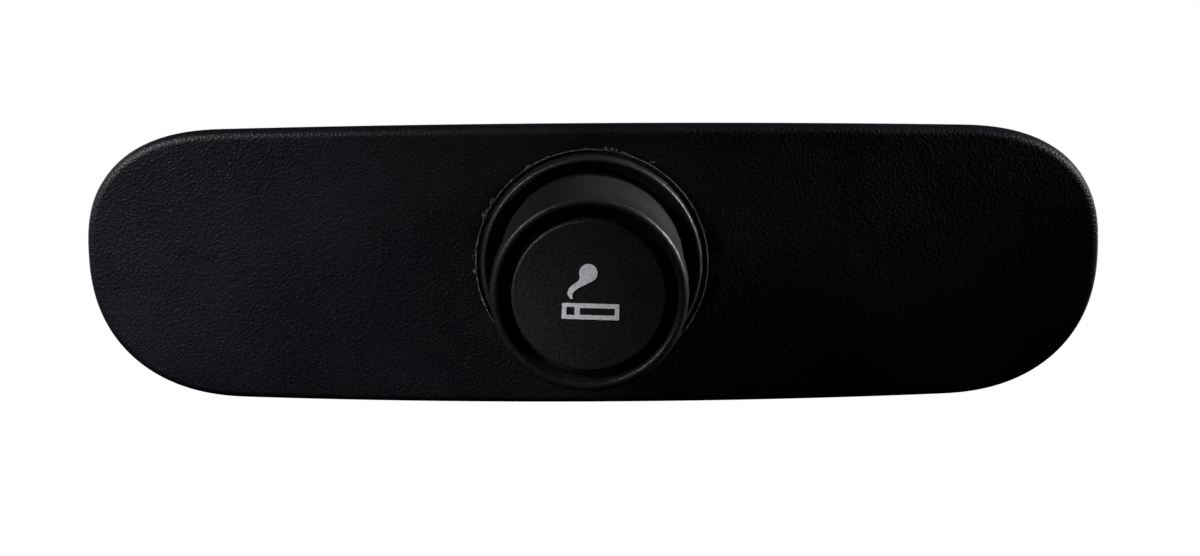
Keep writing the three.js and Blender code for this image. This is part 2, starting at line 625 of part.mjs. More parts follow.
// ---------------------------------------------------------------- rod, spring and guard sleeve

function knobInsert() {
  const insert = ring(ROD_RADIUS + ROD_FIT, INSERT_RADIUS, INSERT_FRONT, INSERT_REAR, SMALL_ROUND);
  return part('knob_insert', insert, BRASS);
}

// Rod from the knob's insert to the heater, drilled at the rear for the rivet.
function driveRod() {
  const front = INSERT_FRONT + ROD_FRONT_GAP;
  const profile = [
    [0, front], [ROD_RADIUS, front], [ROD_RADIUS, ROD_REAR],
    [RIVET_HOLE, ROD_REAR], [RIVET_HOLE, RIVET_POCKET_FRONT], [0, RIVET_POCKET_FRONT],
  ];
  return part('drive_rod', turned(profile, SMALL_ROUND), ZINC_STEEL);
}

function rodClip() {
  const bore = ROD_RADIUS + ROD_FIT;
  const clip = ring(bore, bore + ROD_CLIP.width, WEB_REAR, WEB_REAR + ROD_CLIP.thickness, SMALL_ROUND);
  return part('rod_clip', clip, ZINC_STEEL);
}

function thrustWasher() {
  const outer = SPRING_RADIUS + SPRING.wire + THRUST_WASHER.margin;
  const washer = ring(ROD_HOLE, outer, INSERT_REAR, SPRING_FRONT, SMALL_ROUND);
  return part('thrust_washer', washer, ZINC_STEEL);
}

// Helix of the return spring, about the Y axis.
class SpringPath extends THREE.Curve {
  getPoint(share, target = new THREE.Vector3()) {
    const margin = SPRING.wire + SPRING.endGap;
    const angle = share * SPRING.turns * 2 * Math.PI;
    const y = THREE.MathUtils.lerp(SPRING_FRONT + margin, WEB_FRONT - margin, share);
    return target.set(SPRING_RADIUS * Math.cos(angle), y, SPRING_RADIUS * Math.sin(angle));
  }
}

function returnSpring() {
  const stepsPerTurn = 12;
  const wireSides = 3;
  const section = new THREE.Shape().absarc(0, 0, SPRING.wire, 0, 2 * Math.PI);
  const steps = SPRING.turns * stepsPerTurn;
  const settings = { extrudePath: new SpringPath(), steps, curveSegments: wireSides };
  return part('return_spring', new THREE.ExtrudeGeometry(section, settings), ZINC_STEEL);
}

// Guard sleeve: it slides in the barrel, carries the spring's web and shields the hot cup.
function guardSleeve() {
  const tube = turned([
    [SLEEVE_BORE, SLEEVE_FRONT],
    [SLEEVE_RADIUS + SLEEVE_FLANGE.width, SLEEVE_FRONT],
    [SLEEVE_RADIUS + SLEEVE_FLANGE.width, BARREL_FRONT],
    [SLEEVE_RADIUS, BARREL_FRONT],
    [SLEEVE_RADIUS, SLEEVE_REAR],
    [SLEEVE_BORE, SLEEVE_REAR],
    [SLEEVE_BORE, WEB_REAR],
    [ROD_HOLE, WEB_REAR],
    [ROD_HOLE, WEB_FRONT],
    [SLEEVE_BORE, WEB_FRONT],
  ], LARGE_ROUND);
  const half = SLEEVE_WINDOW.width / 2;
  const reach = SLEEVE_RADIUS + 1;
  const windowFront = WEB_REAR + SLEEVE_WINDOW.setback;
  const windowRear = windowFront + SLEEVE_WINDOW.length;
  const across = block([-reach, windowFront, -half], [reach, windowRear, half]);
  const upright = block([-half, windowFront, -reach], [half, windowRear, reach]);
  return part('guard_sleeve', cut(tube, across, upright), NICKEL);
}

// ---------------------------------------------------------------- heater

function ceramicInsulator() {
  const disc = ring(RIVET_HOLE, CERAMIC.radius, ROD_REAR, CUP_FRONT, SMALL_ROUND);
  return part('ceramic_insulator', disc, CERAMIC_WHITE);
}

function heaterCup() {
  const profile = [
    [RIVET_HOLE, CUP_FRONT],
    [CUP_RADIUS, CUP_FRONT],
    [CUP_RADIUS, CUP_REAR],
    [CUP_BORE, CUP_REAR],
    [CUP_BORE, CUP_FLOOR_REAR],
    [RIVET_HOLE, CUP_FLOOR_REAR],
  ];
  return part('heater_cup', turned(profile, LARGE_ROUND), ZINC_STEEL);
}

function coilRivet() {
  const front = RIVET_POCKET_FRONT + RIVET.fit;
  const headRear = CUP_FLOOR_REAR + RIVET.headThickness;
  const profile = [
    [0, front], [RIVET.radius, front], [RIVET.radius, CUP_FLOOR_REAR],
    [RIVET.head, CUP_FLOOR_REAR], [RIVET.head, headRear], [0, headRear],
  ];
  return part('coil_rivet', turned(profile, SMALL_ROUND), NICKEL);
}

// Resistance ribbon wound on edge into a flat spiral.
function heatingCoil() {
  const steps = COIL.turns * SMALL_ROUND;
  const inner = RIVET.head + COIL.sideGap;
  const outer = CUP_BORE - COIL.sideGap;
  const spiral = (offset) => Array.from({ length: steps + 1 }, (_, i) => {
    const share = i / steps;
    const radius = THREE.MathUtils.lerp(inner, outer, share) + offset;
    const angle = share * COIL.turns * 2 * Math.PI;
    return new THREE.Vector2(radius * Math.cos(angle), radius * Math.sin(angle));
  });
  const outline = [...spiral(COIL.ribbon / 2), ...spiral(-COIL.ribbon / 2).reverse()];
  const front = CUP_FLOOR_REAR + COIL.gap;
  return part('heating_coil', slab(new THREE.Shape(outline), front, front + COIL.height), HEATER_ALLOY);
}

// ---------------------------------------------------------------- assembly

const panel = new THREE.Group();
panel.add(grainedCover(), backingPlate(), studSet(-1, 'left'), studSet(1, 'right'));

const socket = new THREE.Group();
socket.add(collar(), socketBarrel(), clampSleeve(), ringNut(), groundTab());
socket.add(innerInsulator(), outerInsulator(), bimetalClip(), contactStud());
socket.add(powerTab(), ...contactFasteners());

const knob = new THREE.Group();
knob.add(knobBody(), faceDisc(), symbolSmoke(), symbolCigarette(), knobInsert(), driveRod(), rodClip());
knob.add(ceramicInsulator(), heaterCup(), coilRivet(), heatingCoil());
knob.rotation.y = KNOB_TURN;

const plug = new THREE.Group();
plug.add(guardSleeve(), returnSpring(), thrustWasher(), knob);

const lighter = new THREE.Group();
lighter.add(panel, socket, plug);

export default lighter;
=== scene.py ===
"""Looks of a dashboard cigarette lighter: its pieces and materials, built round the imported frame.

Lengths are metres. A length written in millimetres is multiplied by MM where it is named.
The front faces -Y, and the socket's axis is the Y axis.
"""
import math
import random

import bmesh
import bpy
from mathutils import Matrix, Quaternion, Vector, noise


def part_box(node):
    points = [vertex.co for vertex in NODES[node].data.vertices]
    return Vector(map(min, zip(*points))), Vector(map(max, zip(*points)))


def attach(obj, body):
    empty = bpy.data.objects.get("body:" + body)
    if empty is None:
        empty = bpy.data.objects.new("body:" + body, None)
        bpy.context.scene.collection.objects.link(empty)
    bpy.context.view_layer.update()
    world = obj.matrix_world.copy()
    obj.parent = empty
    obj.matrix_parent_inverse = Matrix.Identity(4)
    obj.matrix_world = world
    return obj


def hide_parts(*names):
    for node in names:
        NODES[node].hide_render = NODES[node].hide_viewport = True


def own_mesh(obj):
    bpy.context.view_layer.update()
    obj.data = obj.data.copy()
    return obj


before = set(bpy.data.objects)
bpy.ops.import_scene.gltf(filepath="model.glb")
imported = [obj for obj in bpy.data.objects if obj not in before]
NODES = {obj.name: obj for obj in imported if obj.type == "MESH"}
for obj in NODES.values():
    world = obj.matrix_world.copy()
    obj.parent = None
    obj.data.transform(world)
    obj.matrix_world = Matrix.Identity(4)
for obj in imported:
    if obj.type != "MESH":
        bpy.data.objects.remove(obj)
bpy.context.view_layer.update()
MM = 0.001

# ---------- camera

# The camera looks down at the panel from slightly to its right.
CAMERA_AZIMUTH = math.radians(1.2)
CAMERA_ELEVATION = math.radians(14.4)
CAMERA_ROLL = math.radians(-0.6)
CAMERA_DISTANCE = 500 * MM
CAMERA_LENS = 105.3
CAMERA_SENSOR = 36
NEAREST_SEEN = 10 * MM
CAMERA_RIGHT = 1.14 * MM
CAMERA_DOWN = 2.15 * MM


def add_camera():
    low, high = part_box("grained_cover")
    centre = Vector(((low.x + high.x) / 2, low.y, 0))
    toward = Vector((
        math.sin(CAMERA_AZIMUTH) * math.cos(CAMERA_ELEVATION),
        -math.cos(CAMERA_AZIMUTH) * math.cos(CAMERA_ELEVATION),
        math.sin(CAMERA_ELEVATION),
    ))
    level = (-toward).to_track_quat("-Z", "Y")
    right = level @ Vector((1, 0, 0))
    up = level @ Vector((0, 1, 0))
    camera = bpy.data.objects.new("camera", bpy.data.cameras.new("camera"))
    camera.data.lens = CAMERA_LENS
    camera.data.sensor_width = CAMERA_SENSOR
    camera.data.clip_start = NEAREST_SEEN
    camera.location = centre + toward * CAMERA_DISTANCE + right * CAMERA_RIGHT - up * CAMERA_DOWN
    camera.rotation_mode = "QUATERNION"
    camera.rotation_quaternion = level @ Quaternion((0, 0, 1), CAMERA_ROLL)
    bpy.context.scene.collection.objects.link(camera)
    bpy.context.scene.camera = camera


# ---------- materials

# A stretch that makes a pattern the same all the way through the panel, from front to rear.
FLAT = (1, 1e6, 1)

class Surface:
    """A procedural material in the making. Its patterns are measured in millimetres of the piece."""

    def __init__(self, name, metallic=0.0, specular=0.5, coat=0.0, coat_roughness=0.2):
        self.material = bpy.data.materials.new(name)
        self.material.use_nodes = True
        self.tree = self.material.node_tree
        self.shader = self.tree.nodes["Principled BSDF"]
        self.shader.inputs["Metallic"].default_value = metallic
        self.shader.inputs["Specular IOR Level"].default_value = specular
        self.shader.inputs["Coat Weight"].default_value = coat
        self.shader.inputs["Coat Roughness"].default_value = coat_roughness
        place = self.add("ShaderNodeTexCoord")
        scale = self.add("ShaderNodeMapping")
        scale.inputs["Scale"].default_value = (1 / MM, 1 / MM, 1 / MM)
        self.join(place.outputs["Object"], scale.inputs["Vector"])
        self.place = scale.outputs["Vector"]
        self.relief = None

    def add(self, kind):
        return self.tree.nodes.new(kind)

    def join(self, output, socket):
        self.tree.links.new(output, socket)

    def stretched(self, stretch):
        """The place with each axis stretched, for grain that runs one way."""
        mapping = self.add("ShaderNodeMapping")
        mapping.inputs["Scale"].default_value = [1 / s for s in stretch]
        self.join(self.place, mapping.inputs["Vector"])
        return mapping.outputs["Vector"]

    def clouds(self, size, detail=3.0, stretch=None, distortion=0.0):
        """Soft noise from 0 to 1 with patches of about this size."""
        texture = self.add("ShaderNodeTexNoise")
        texture.inputs["Scale"].default_value = 1 / size
        texture.inputs["Detail"].default_value = detail
        texture.inputs["Distortion"].default_value = distortion
        self.join(self.stretched(stretch) if stretch else self.place, texture.inputs["Vector"])
        return texture.outputs["Fac"]

    def cells(self, size, feature="F1", output="Distance", stretch=None):
        """A cell pattern with cells of about this size."""
        texture = self.add("ShaderNodeTexVoronoi")
        texture.feature = feature
        texture.inputs["Scale"].default_value = 1 / size
        self.join(self.stretched(stretch) if stretch else self.place, texture.inputs["Vector"])
        return texture.outputs[output]

    def rings(self, size, wobble=0.6):
        """Fine turning marks round the Y axis."""
        texture = self.add("ShaderNodeTexWave")
        texture.wave_type = "RINGS"
        texture.rings_direction = "Y"
        texture.inputs["Scale"].default_value = 1 / size
        texture.inputs["Distortion"].default_value = wobble
        texture.inputs["Detail"].default_value = 2
        self.join(self.place, texture.inputs["Vector"])
        return texture.outputs["Fac"]

    def spread(self, value, low, high, to_low, to_high):
        """A value between low and high, moved to between to_low and to_high."""
        spread = self.add("ShaderNodeMapRange")
        self.join(value, spread.inputs["Value"])
        for name, number in zip(("From Min", "From Max", "To Min", "To Max"), (low, high, to_low, to_high)):
            spread.inputs[name].default_value = number
        return spread.outputs["Result"]

    def combined(self, first, second, operation):
        maths = self.add("ShaderNodeMath")
        maths.operation = operation
        self.join(first, maths.inputs[0])
        self.join(second, maths.inputs[1])
        return maths.outputs["Value"]

    def tinted(self, value, *stops):
        """A colour that follows the value through (place, red, green, blue) stops."""
        ramp = self.add("ShaderNodeValToRGB")
        elements = ramp.color_ramp.elements
        while len(elements) < len(stops):
            elements.new(0.5)
        for element, (place, red, green, blue) in zip(elements, stops):
            element.position = place
            element.color = (red, green, blue, 1)
        self.join(value, ramp.inputs["Fac"])
        return ramp.outputs["Color"]

    def mixed(self, share, under, over):
        """The colour under, with the colour over laid on it by share."""
        mix = self.add("ShaderNodeMix")
        mix.data_type = "RGBA"
        self.join(share, mix.inputs["Factor"])
        self.join(under, mix.inputs[6])
        self.join(over, mix.inputs[7])
        return mix.outputs[2]

    def colour(self, output):
        self.join(output, self.shader.inputs["Base Color"])

    def roughness(self, output):
        self.join(output, self.shader.inputs["Roughness"])

    def raised(self, height, depth):
        """Adds relief: height from 0 to 1 stands this many millimetres proud."""
        bump = self.add("ShaderNodeBump")
        bump.inputs["Strength"].default_value = 1
        bump.inputs["Distance"].default_value = depth * MM
        self.join(height, bump.inputs["Height"])
        if self.relief:
            self.join(self.relief, bump.inputs["Normal"])
        self.relief = bump.outputs["Normal"]
        self.join(self.relief, self.shader.inputs["Normal"])


def leather():
    """Black leather: a fine pebble grain, soft creases, slightly polished patches and specks of dust. The
    creases between the pebbles are painted darker, as painted shade.
    """
    surface = Surface("leather", specular=0.10)
    pebble = surface.cells(0.6, "DISTANCE_TO_EDGE")
    fine = surface.clouds(0.42, detail=4)
    patches = surface.clouds(14, detail=4)
    base = surface.tinted(patches, (0.3, 0.0013, 0.0010, 0.0022), (0.7, 0.0022, 0.0018, 0.0037))
    # Painted shade: the creases between the pebbles are coloured darker than the pebbles' tops.
    painted_crease_shade = surface.tinted(fine, (0.3, 0.0007, 0.0006, 0.0009), (0.7, 0.0015, 0.0013, 0.0020))
    skin = surface.mixed(surface.spread(pebble, 0, 0.14, 0, 1), painted_crease_shade, base)
    specks = surface.spread(surface.cells(24, stretch=FLAT), 0.0045, 0.0065, 1, 0)
    dust = surface.tinted(patches, (0, 0.3, 0.3, 0.3), (1, 0.5, 0.5, 0.5))
    surface.colour(surface.mixed(specks, skin, dust))
    surface.roughness(surface.combined(
        surface.spread(pebble, 0, 0.25, 0.10, 0.0),
        surface.spread(patches, 0.3, 0.7, 0.40, 0.50),
        "ADD",
    ))
    surface.raised(surface.spread(pebble, 0, 0.3, 0, 1), 0.035)
    surface.raised(fine, 0.085)
    surface.raised(surface.clouds(2.2, detail=3), 0.045)
    return surface.material


def raw_leather():
    """The torn edge of the leather, where the grey fibres under its black skin show."""
    surface = Surface("raw_leather", specular=0.2)
    fibres = surface.clouds(0.3, detail=5, distortion=1.0)
    surface.colour(surface.tinted(fibres, (0.44, 0.003, 0.003, 0.004), (0.72, 0.13, 0.125, 0.13)))
    surface.roughness(surface.spread(fibres, 0.3, 0.7, 0.9, 0.7))
    surface.raised(fibres, 0.05)
    return surface.material


def moulded_plastic(name, roughness, depth, specular):
    """Black plastic with the fine grain of a spark-eroded mould, rubbed smoother in patches."""
    surface = Surface(name, specular=specular)
    grain = surface.clouds(0.36, detail=5)
    patches = surface.clouds(6, detail=4)
    pits = surface.cells(0.45)
    surface.colour(surface.tinted(grain, (0.32, 0.0034, 0.0034, 0.0038), (0.70, 0.0125, 0.0125, 0.0132)))
    surface.roughness(surface.combined(
        surface.spread(grain, 0.3, 0.7, -0.06, 0.06),
        surface.spread(patches, 0.3, 0.7, roughness - 0.05, roughness + 0.05),
        "ADD",
    ))
    surface.raised(grain, depth)
    surface.raised(surface.spread(pits, 0.1, 0.5, 0, 1), depth / 3)
    surface.raised(surface.clouds(2.4, detail=2), 0.012)
    return surface.material


def print_ink():
    """Pale grey pad-printed ink, a little thin in places and grained by the plastic under it."""
    surface = Surface("print_ink", specular=0.3)
    cover = surface.clouds(0.45, detail=5)
    surface.colour(surface.tinted(
        cover,
        (0.28, 0.56, 0.58, 0.61),
        (0.5, 0.76, 0.78, 0.82),
        (0.75, 0.84, 0.86, 0.89),
    ))
    surface.roughness(surface.spread(cover, 0.3, 0.7, 0.62, 0.48))
    surface.raised(surface.clouds(0.2, detail=2), 0.01)
    return surface.material


def zinc_steel():
    """Zinc-plated steel: a faint yellow-blue spangle, fine scratches and dull handling marks."""
    surface = Surface("zinc_steel", metallic=1)
    spangle = surface.cells(1.6, "F1", output="Color")
    cloudy = surface.clouds(5, detail=5)
    tone = surface.add("ShaderNodeSeparateColor")
    surface.join(spangle, tone.inputs["Color"])
    plated = surface.tinted(tone.outputs["Red"], (0, 0.46, 0.47, 0.50), (1, 0.60, 0.60, 0.60))
    dulled = surface.tinted(cloudy, (0.3, 0.34, 0.34, 0.33), (0.7, 0.60, 0.60, 0.58))
    surface.colour(surface.mixed(surface.spread(cloudy, 0.45, 0.7, 0, 0.75), plated, dulled))
    surface.roughness(surface.spread(cloudy, 0.3, 0.7, 0.26, 0.46))
    surface.raised(surface.rings(0.35), 0.004)
    surface.raised(surface.clouds(0.35, detail=4), 0.005)
    return surface.material


def nickel_steel():
    """Dull nickel plate with faint drawn lines along the sleeve and slow changes of tone."""
    surface = Surface("nickel_steel", metallic=1)
    haze = surface.clouds(7, detail=2)
    drawn = surface.clouds(0.25, detail=3, stretch=(1, 14, 1))
    surface.colour(surface.tinted(haze, (0.3, 0.60, 0.585, 0.555), (0.7, 0.68, 0.67, 0.645)))
    surface.roughness(surface.spread(haze, 0.3, 0.7, 0.28, 0.34))
    surface.raised(drawn, 0.001)
    return surface.material


def brass():
    """Brass, tarnished brown in patches, with turning marks."""
    surface = Surface("brass", metallic=1)
    tarnish = surface.clouds(3.2, detail=6)
    surface.colour(surface.tinted(
        tarnish,
        (0.3, 0.30, 0.19, 0.075),
        (0.5, 0.52, 0.36, 0.15),
        (0.72, 0.68, 0.50, 0.24),
    ))
    surface.roughness(surface.spread(tarnish, 0.3, 0.7, 0.48, 0.26))
    surface.raised(surface.rings(0.28), 0.005)
    surface.raised(surface.clouds(0.3, detail=4), 0.004)
    return surface.material


def fibre_board():
    """Pressed red-brown fibre board with short fibres lying across it."""
    surface = Surface("fibre_board", specular=0.3)
    fibres = surface.clouds(0.4, detail=5, stretch=(5, 1, 1.2), distortion=1.2)
    blotches = surface.clouds(3, detail=3)
    surface.colour(surface.mixed(
        surface.spread(blotches, 0.35, 0.7, 0, 0.6),
        surface.tinted(fibres, (0.3, 0.075, 0.026, 0.014), (0.7, 0.19, 0.070, 0.034)),
        surface.tinted(fibres, (0.3, 0.05, 0.020, 0.012), (0.7, 0.13, 0.050, 0.028)),
    ))
    surface.roughness(surface.spread(fibres, 0.3, 0.7, 0.78, 0.6))
    surface.raised(fibres, 0.03)
    return surface.material


def ceramic():
    """Unglazed steatite, cream, with brown scorch near the heat and a fine chalky grain."""
    surface = Surface("ceramic", specular=0.35)
    scorch = surface.clouds(2.5, detail=5)
    surface.colour(surface.tinted(
        scorch,
        (0.3, 0.44, 0.36, 0.27),
        (0.5, 0.66, 0.60, 0.50),
        (0.75, 0.74, 0.70, 0.62),
    ))
    surface.roughness(surface.spread(scorch, 0.3, 0.7, 0.75, 0.55))
    surface.raised(surface.clouds(0.25, detail=4), 0.012)
    return surface.material


def heater_alloy():
    """Resistance alloy that has been red hot: dark grey scale with straw and blue tempering colours."""
    surface = Surface("heater_alloy", metallic=0.85)
    temper = surface.clouds(2.2, detail=5)
    surface.colour(surface.tinted(
        temper,
        (0.28, 0.10, 0.095, 0.10),
        (0.45, 0.20, 0.16, 0.12),
        (0.58, 0.16, 0.15, 0.19),
        (0.75, 0.30, 0.28, 0.27),
    ))
    surface.roughness(surface.spread(temper, 0.3, 0.7, 0.62, 0.38))
    surface.raised(surface.clouds(0.3, detail=4), 0.01)
    return surface.material


def plate_aluminium():
    """Rolled aluminium sheet with long rolling lines, oxide bloom and glue stains."""
    surface = Surface("plate_aluminium", metallic=1)
    rolled = surface.clouds(0.3, detail=3, stretch=(30, 1, 1))
    bloom = surface.clouds(7, detail=6)
    surface.colour(surface.tinted(
        bloom,
        (0.3, 0.42, 0.42, 0.42),
        (0.55, 0.58, 0.58, 0.59),
        (0.75, 0.68, 0.68, 0.69),
    ))
    surface.roughness(surface.spread(bloom, 0.3, 0.7, 0.52, 0.34))
    surface.raised(rolled, 0.006)
    surface.raised(surface.clouds(0.5, detail=4), 0.004)
    return surface.material


MATERIALS = {
    "leather": leather(),
    "raw_leather": raw_leather(),
    "plate_aluminium": plate_aluminium(),
    "black_plastic": moulded_plastic("black_plastic", 0.52, 0.07, 0.28),
    "satin_plastic": moulded_plastic("satin_plastic", 0.40, 0.05, 0.18),
    "print_ink": print_ink(),
    "zinc_steel": zinc_steel(),
    "nickel_steel": nickel_steel(),
    "brass": brass(),
    "fibre_board": fibre_board(),
    "ceramic": ceramic(),
    "heater_alloy": heater_alloy(),
}

# ---------- mesh building blocks

ROUND = 160
MERGE = 0.0005 * MM
# Edges that turn more than this stay sharp, or are bevelled on a CAD node that is kept.
SHARP_FROM = math.radians(50)
BEVEL_FROM = math.radians(40)


def evenly_shaded(piece):
    piece.modifiers.new("even_shading", "WEIGHTED_NORMAL").keep_sharp = True


def finished(name, mesh, body, slot, *stands_for, finish=None):
    """Turns a bmesh into a shaded piece that rides on a body and stands for CAD nodes.

    Its material is its slot's, or another finish of the same stuff.
    """
    bmesh.ops.remove_doubles(mesh, verts=mesh.verts[:], dist=MERGE)
    bmesh.ops.recalc_face_normals(mesh, faces=mesh.faces[:])
    data = bpy.data.meshes.new(name)
    mesh.to_mesh(data)
    mesh.free()
    data.shade_smooth()
    data.set_sharp_from_angle(angle=SHARP_FROM)
    data.materials.append(MATERIALS[finish or slot])
    piece = bpy.data.objects.new(name, data)
    bpy.context.scene.collection.objects.link(piece)
    evenly_shaded(piece)
    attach(piece, body)
    if stands_for:
        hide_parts(*stands_for)
    return piece


def ring_face_pairs(first, second):
    """The quads between two rings of equally many vertices."""
    count = len(first)
    for i in range(count):
        j = (i + 1) % count
        yield first[i], first[j], second[j], second[i]


def loft(mesh, rings, closed=False, caps=False):
    """Adds a skin over rings. A closed one joins its last ring to its first; caps fill both ends."""
    made = [[mesh.verts.new(point) for point in ring] for ring in rings]
    pairs = list(zip(made, made[1:]))
    if closed:
        pairs.append((made[-1], made[0]))
    for first, second in pairs:
        for corners in ring_face_pairs(first, second):
            mesh.faces.new(corners)
    if caps:
        mesh.faces.new(made[0])
        mesh.faces.new(made[-1])


def lofted(rings, closed=False, caps=False):
    mesh = bmesh.new()
    loft(mesh, rings, closed, caps)
    return mesh


def centre_of(node):
    """The (x, z) centre of a CAD node."""
    low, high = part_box(node)
    return (low.x + high.x) / 2, (low.z + high.z) / 2


def circle(radius, y, count=ROUND, centre=(0.0, 0.0)):
    """Points round an axis along Y."""
    turns = (2 * math.pi * i / count for i in range(count))
    return [
        Vector((centre[0] + radius * math.cos(turn), y, centre[1] + radius * math.sin(turn)))
        for turn in turns
    ]


STRAIGHT_BELOW = math.radians(1)


def without_straight_points(points, closed):
    """Drops the points that lie on a straight line between their neighbours."""
    kept = []
    count = len(points)
    for i, point in enumerate(points):
        if not closed and i in (0, count - 1):
            kept.append(point)
            continue
        before = point - points[i - 1]
        after = points[(i + 1) % count] - point
        if before.length < MERGE or after.length < MERGE:
            continue
        if abs(before.angle_signed(after)) > STRAIGHT_BELOW:
            kept.append(point)
    return kept


def section(node, angle):
    """The outline, as (radius, y) points, of a turned CAD node in the half plane at this angle.

    It is closed if the node has a bore, and runs from axis to axis if it is solid.
    """
    low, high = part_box(node)
    axis = Vector(((low.x + high.x) / 2, 0, (low.z + high.z) / 2))
    outward = Vector((math.cos(angle), 0, math.sin(angle)))
    across = Vector((-outward.z, 0, outward.x))
    mesh = bmesh.new()
    mesh.from_mesh(NODES[node].data)
    bmesh.ops.remove_doubles(mesh, verts=mesh.verts[:], dist=MERGE)
    everything = mesh.verts[:] + mesh.edges[:] + mesh.faces[:]
    bmesh.ops.bisect_plane(mesh, geom=everything, plane_co=axis, plane_no=outward, clear_inner=True)
    everything = mesh.verts[:] + mesh.edges[:] + mesh.faces[:]
    cut = bmesh.ops.bisect_plane(mesh, geom=everything, plane_co=axis, plane_no=across)
    edges = [part for part in cut["geom_cut"] if isinstance(part, bmesh.types.BMEdge)]
    neighbours = {}
    for edge in edges:
        for here, there in (edge.verts, reversed(edge.verts)):
            neighbours.setdefault(here, []).append(there)
    ends = [vertex for vertex, found in neighbours.items() if len(found) == 1]
    walk = [ends[0] if ends else next(iter(neighbours))]
    seen = set(walk)
    while True:
        onward = [vertex for vertex in neighbours[walk[-1]] if vertex not in seen]
        if not onward:
            break
        walk.append(onward[0])
        seen.add(onward[0])
    outline = [Vector(((vertex.co - axis).dot(outward), vertex.co.y)) for vertex in walk]
    mesh.free()
    return without_straight_points(outline, closed=not ends), not ends


SECOND_CUT = 0.35
MOST_CUT = 0.32


def softened(outline, closed, reach):
    """Rounds each corner by cutting it back twice, never past a third of the way to its neighbour."""
    for step in (reach, reach * SECOND_CUT):
        smoother = []
        count = len(outline)
        for i, point in enumerate(outline):
            if not closed and i in (0, count - 1):
                smoother.append(point)
                continue
            for neighbour in (outline[i - 1], outline[(i + 1) % count]):
                side = neighbour - point
                smoother.append(point + side * min(step / side.length, MOST_CUT))
        outline = smoother
    return outline


def ridged(outline, start, end, pitch, depth):
    """The outline with V ridges cut into its outermost straight side that runs past both start and end."""
    sides = []
    for i, (here, there) in enumerate(zip(outline, outline[1:] + outline[:1])):
        low, high = sorted((here.y, there.y))
        if abs(here.x - there.x) < MERGE and low <= start and high >= end:
            sides.append((here.x, i, here.y > there.y))
    radius, i, backward = max(sides)
    crests = int((end - start) / pitch)
    grooves = []
    for ridge in range(crests):
        crest = start + ridge * pitch
        grooves += [Vector((radius, crest)), Vector((radius - depth, crest + pitch / 2))]
    grooves.append(Vector((radius, start + crests * pitch)))
    if backward:
        grooves.reverse()
    return outline[:i + 1] + grooves + outline[i + 1:]


def carved(mesh, blocks):
    """The mesh with blocks cut out of it. A block is (low corner, high corner, turn about the Y axis)."""
    cutter = bmesh.new()
    for low, high, turn in blocks:
        low, high = Vector(low), Vector(high)
        corners = bmesh.ops.create_cube(cutter, size=1)["verts"]
        size = high - low
        place = Matrix.Translation((low + high) / 2) @ Matrix.Diagonal((*size, 1))
        bmesh.ops.transform(cutter, matrix=Matrix.Rotation(turn, 4, "Y") @ place, verts=corners)
    objects = []
    for part in (mesh, cutter):
        bmesh.ops.remove_doubles(part, verts=part.verts[:], dist=MERGE)
        bmesh.ops.recalc_face_normals(part, faces=part.faces[:])
        data = bpy.data.meshes.new("carving")
        part.to_mesh(data)
        part.free()
        objects.append(bpy.data.objects.new("carving", data))
        bpy.context.scene.collection.objects.link(objects[-1])
    whole, tool = objects
    cut = whole.modifiers.new("cut", "BOOLEAN")
    cut.operation = "DIFFERENCE"
    cut.solver = "EXACT"
    cut.object = tool
    result = bmesh.new()
    result.from_object(whole, bpy.context.evaluated_depsgraph_get())
    for used in objects:
        bpy.data.objects.remove(used)
    return result


def bevelled(piece, width):
    """Takes the sharpness off a piece's edges. Its CAD faces are welded together first."""
    weld = piece.modifiers.new("weld", "WELD")
    weld.merge_threshold = MERGE
    bevel = piece.modifiers.new("soft_edges", "BEVEL")
    bevel.width = width
    bevel.segments = 2
    bevel.limit_method = "ANGLE"
    bevel.angle_limit = BEVEL_FROM
    evenly_shaded(piece)


def turned(
    name, facets, body, slot, soft, start=0.0, ridges=None, cuts=(), section_turn=0.0, finish=None,
):
    """A smooth piece in place of a turned CAD node. The CAD node's circle has this many facets from start.

    soft is how far its corners are cut back, in mm. ridges is (start, end, pitch, depth) of a thread, and
    section_turn looks at the node past its slots.
    """
    half_facet = math.pi / facets
    outline, closed = section(name, start + half_facet + section_turn)
    outline = [Vector((point.x / math.cos(half_facet), point.y)) for point in outline]
    outline = softened(outline, closed, soft * MM)
    if ridges:
        outline = ridged(outline, *ridges)
    centre = centre_of(name)
    mesh = lofted([circle(radius, y, ROUND, centre) for radius, y in outline], closed)
    if cuts:
        mesh = carved(mesh, cuts)
    finished(name + "_turned", mesh, body, slot, name, finish=finish)


# ---------- panel

PANEL_LOW, PANEL_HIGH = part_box("grained_cover")
HALF_LENGTH = PANEL_HIGH.x
END_HEIGHT = 2.0 * MM
SOCKET_HOLE = 16.4 * MM
SKIN = 1.0 * MM
HEM = 4.0 * MM
# The hem stays this far from the socket's axis, outside the plate's pad that takes the clamp's rim.
PAD_CLEAR = 17.55 * MM
FRONT_ROUND = 1.1 * MM
REAR_ROUND = 0.9 * MM
HEM_ROUND = 0.2 * MM

# Each quarter of the outline: where its corner starts, how square it is, how high the edge stands at the
# middle and how much lower it lies at the end.
TOP = {"length": 20 * MM, "roundness": 2.476, "rise": PANEL_HIGH.z - END_HEIGHT, "crown": 1 * MM}
BOTTOM = {"length": 22.15 * MM, "roundness": 2.35, "rise": END_HEIGHT - PANEL_LOW.z, "crown": 2 * MM}
CORNER_POINTS = 40
EDGE_POINTS = 128


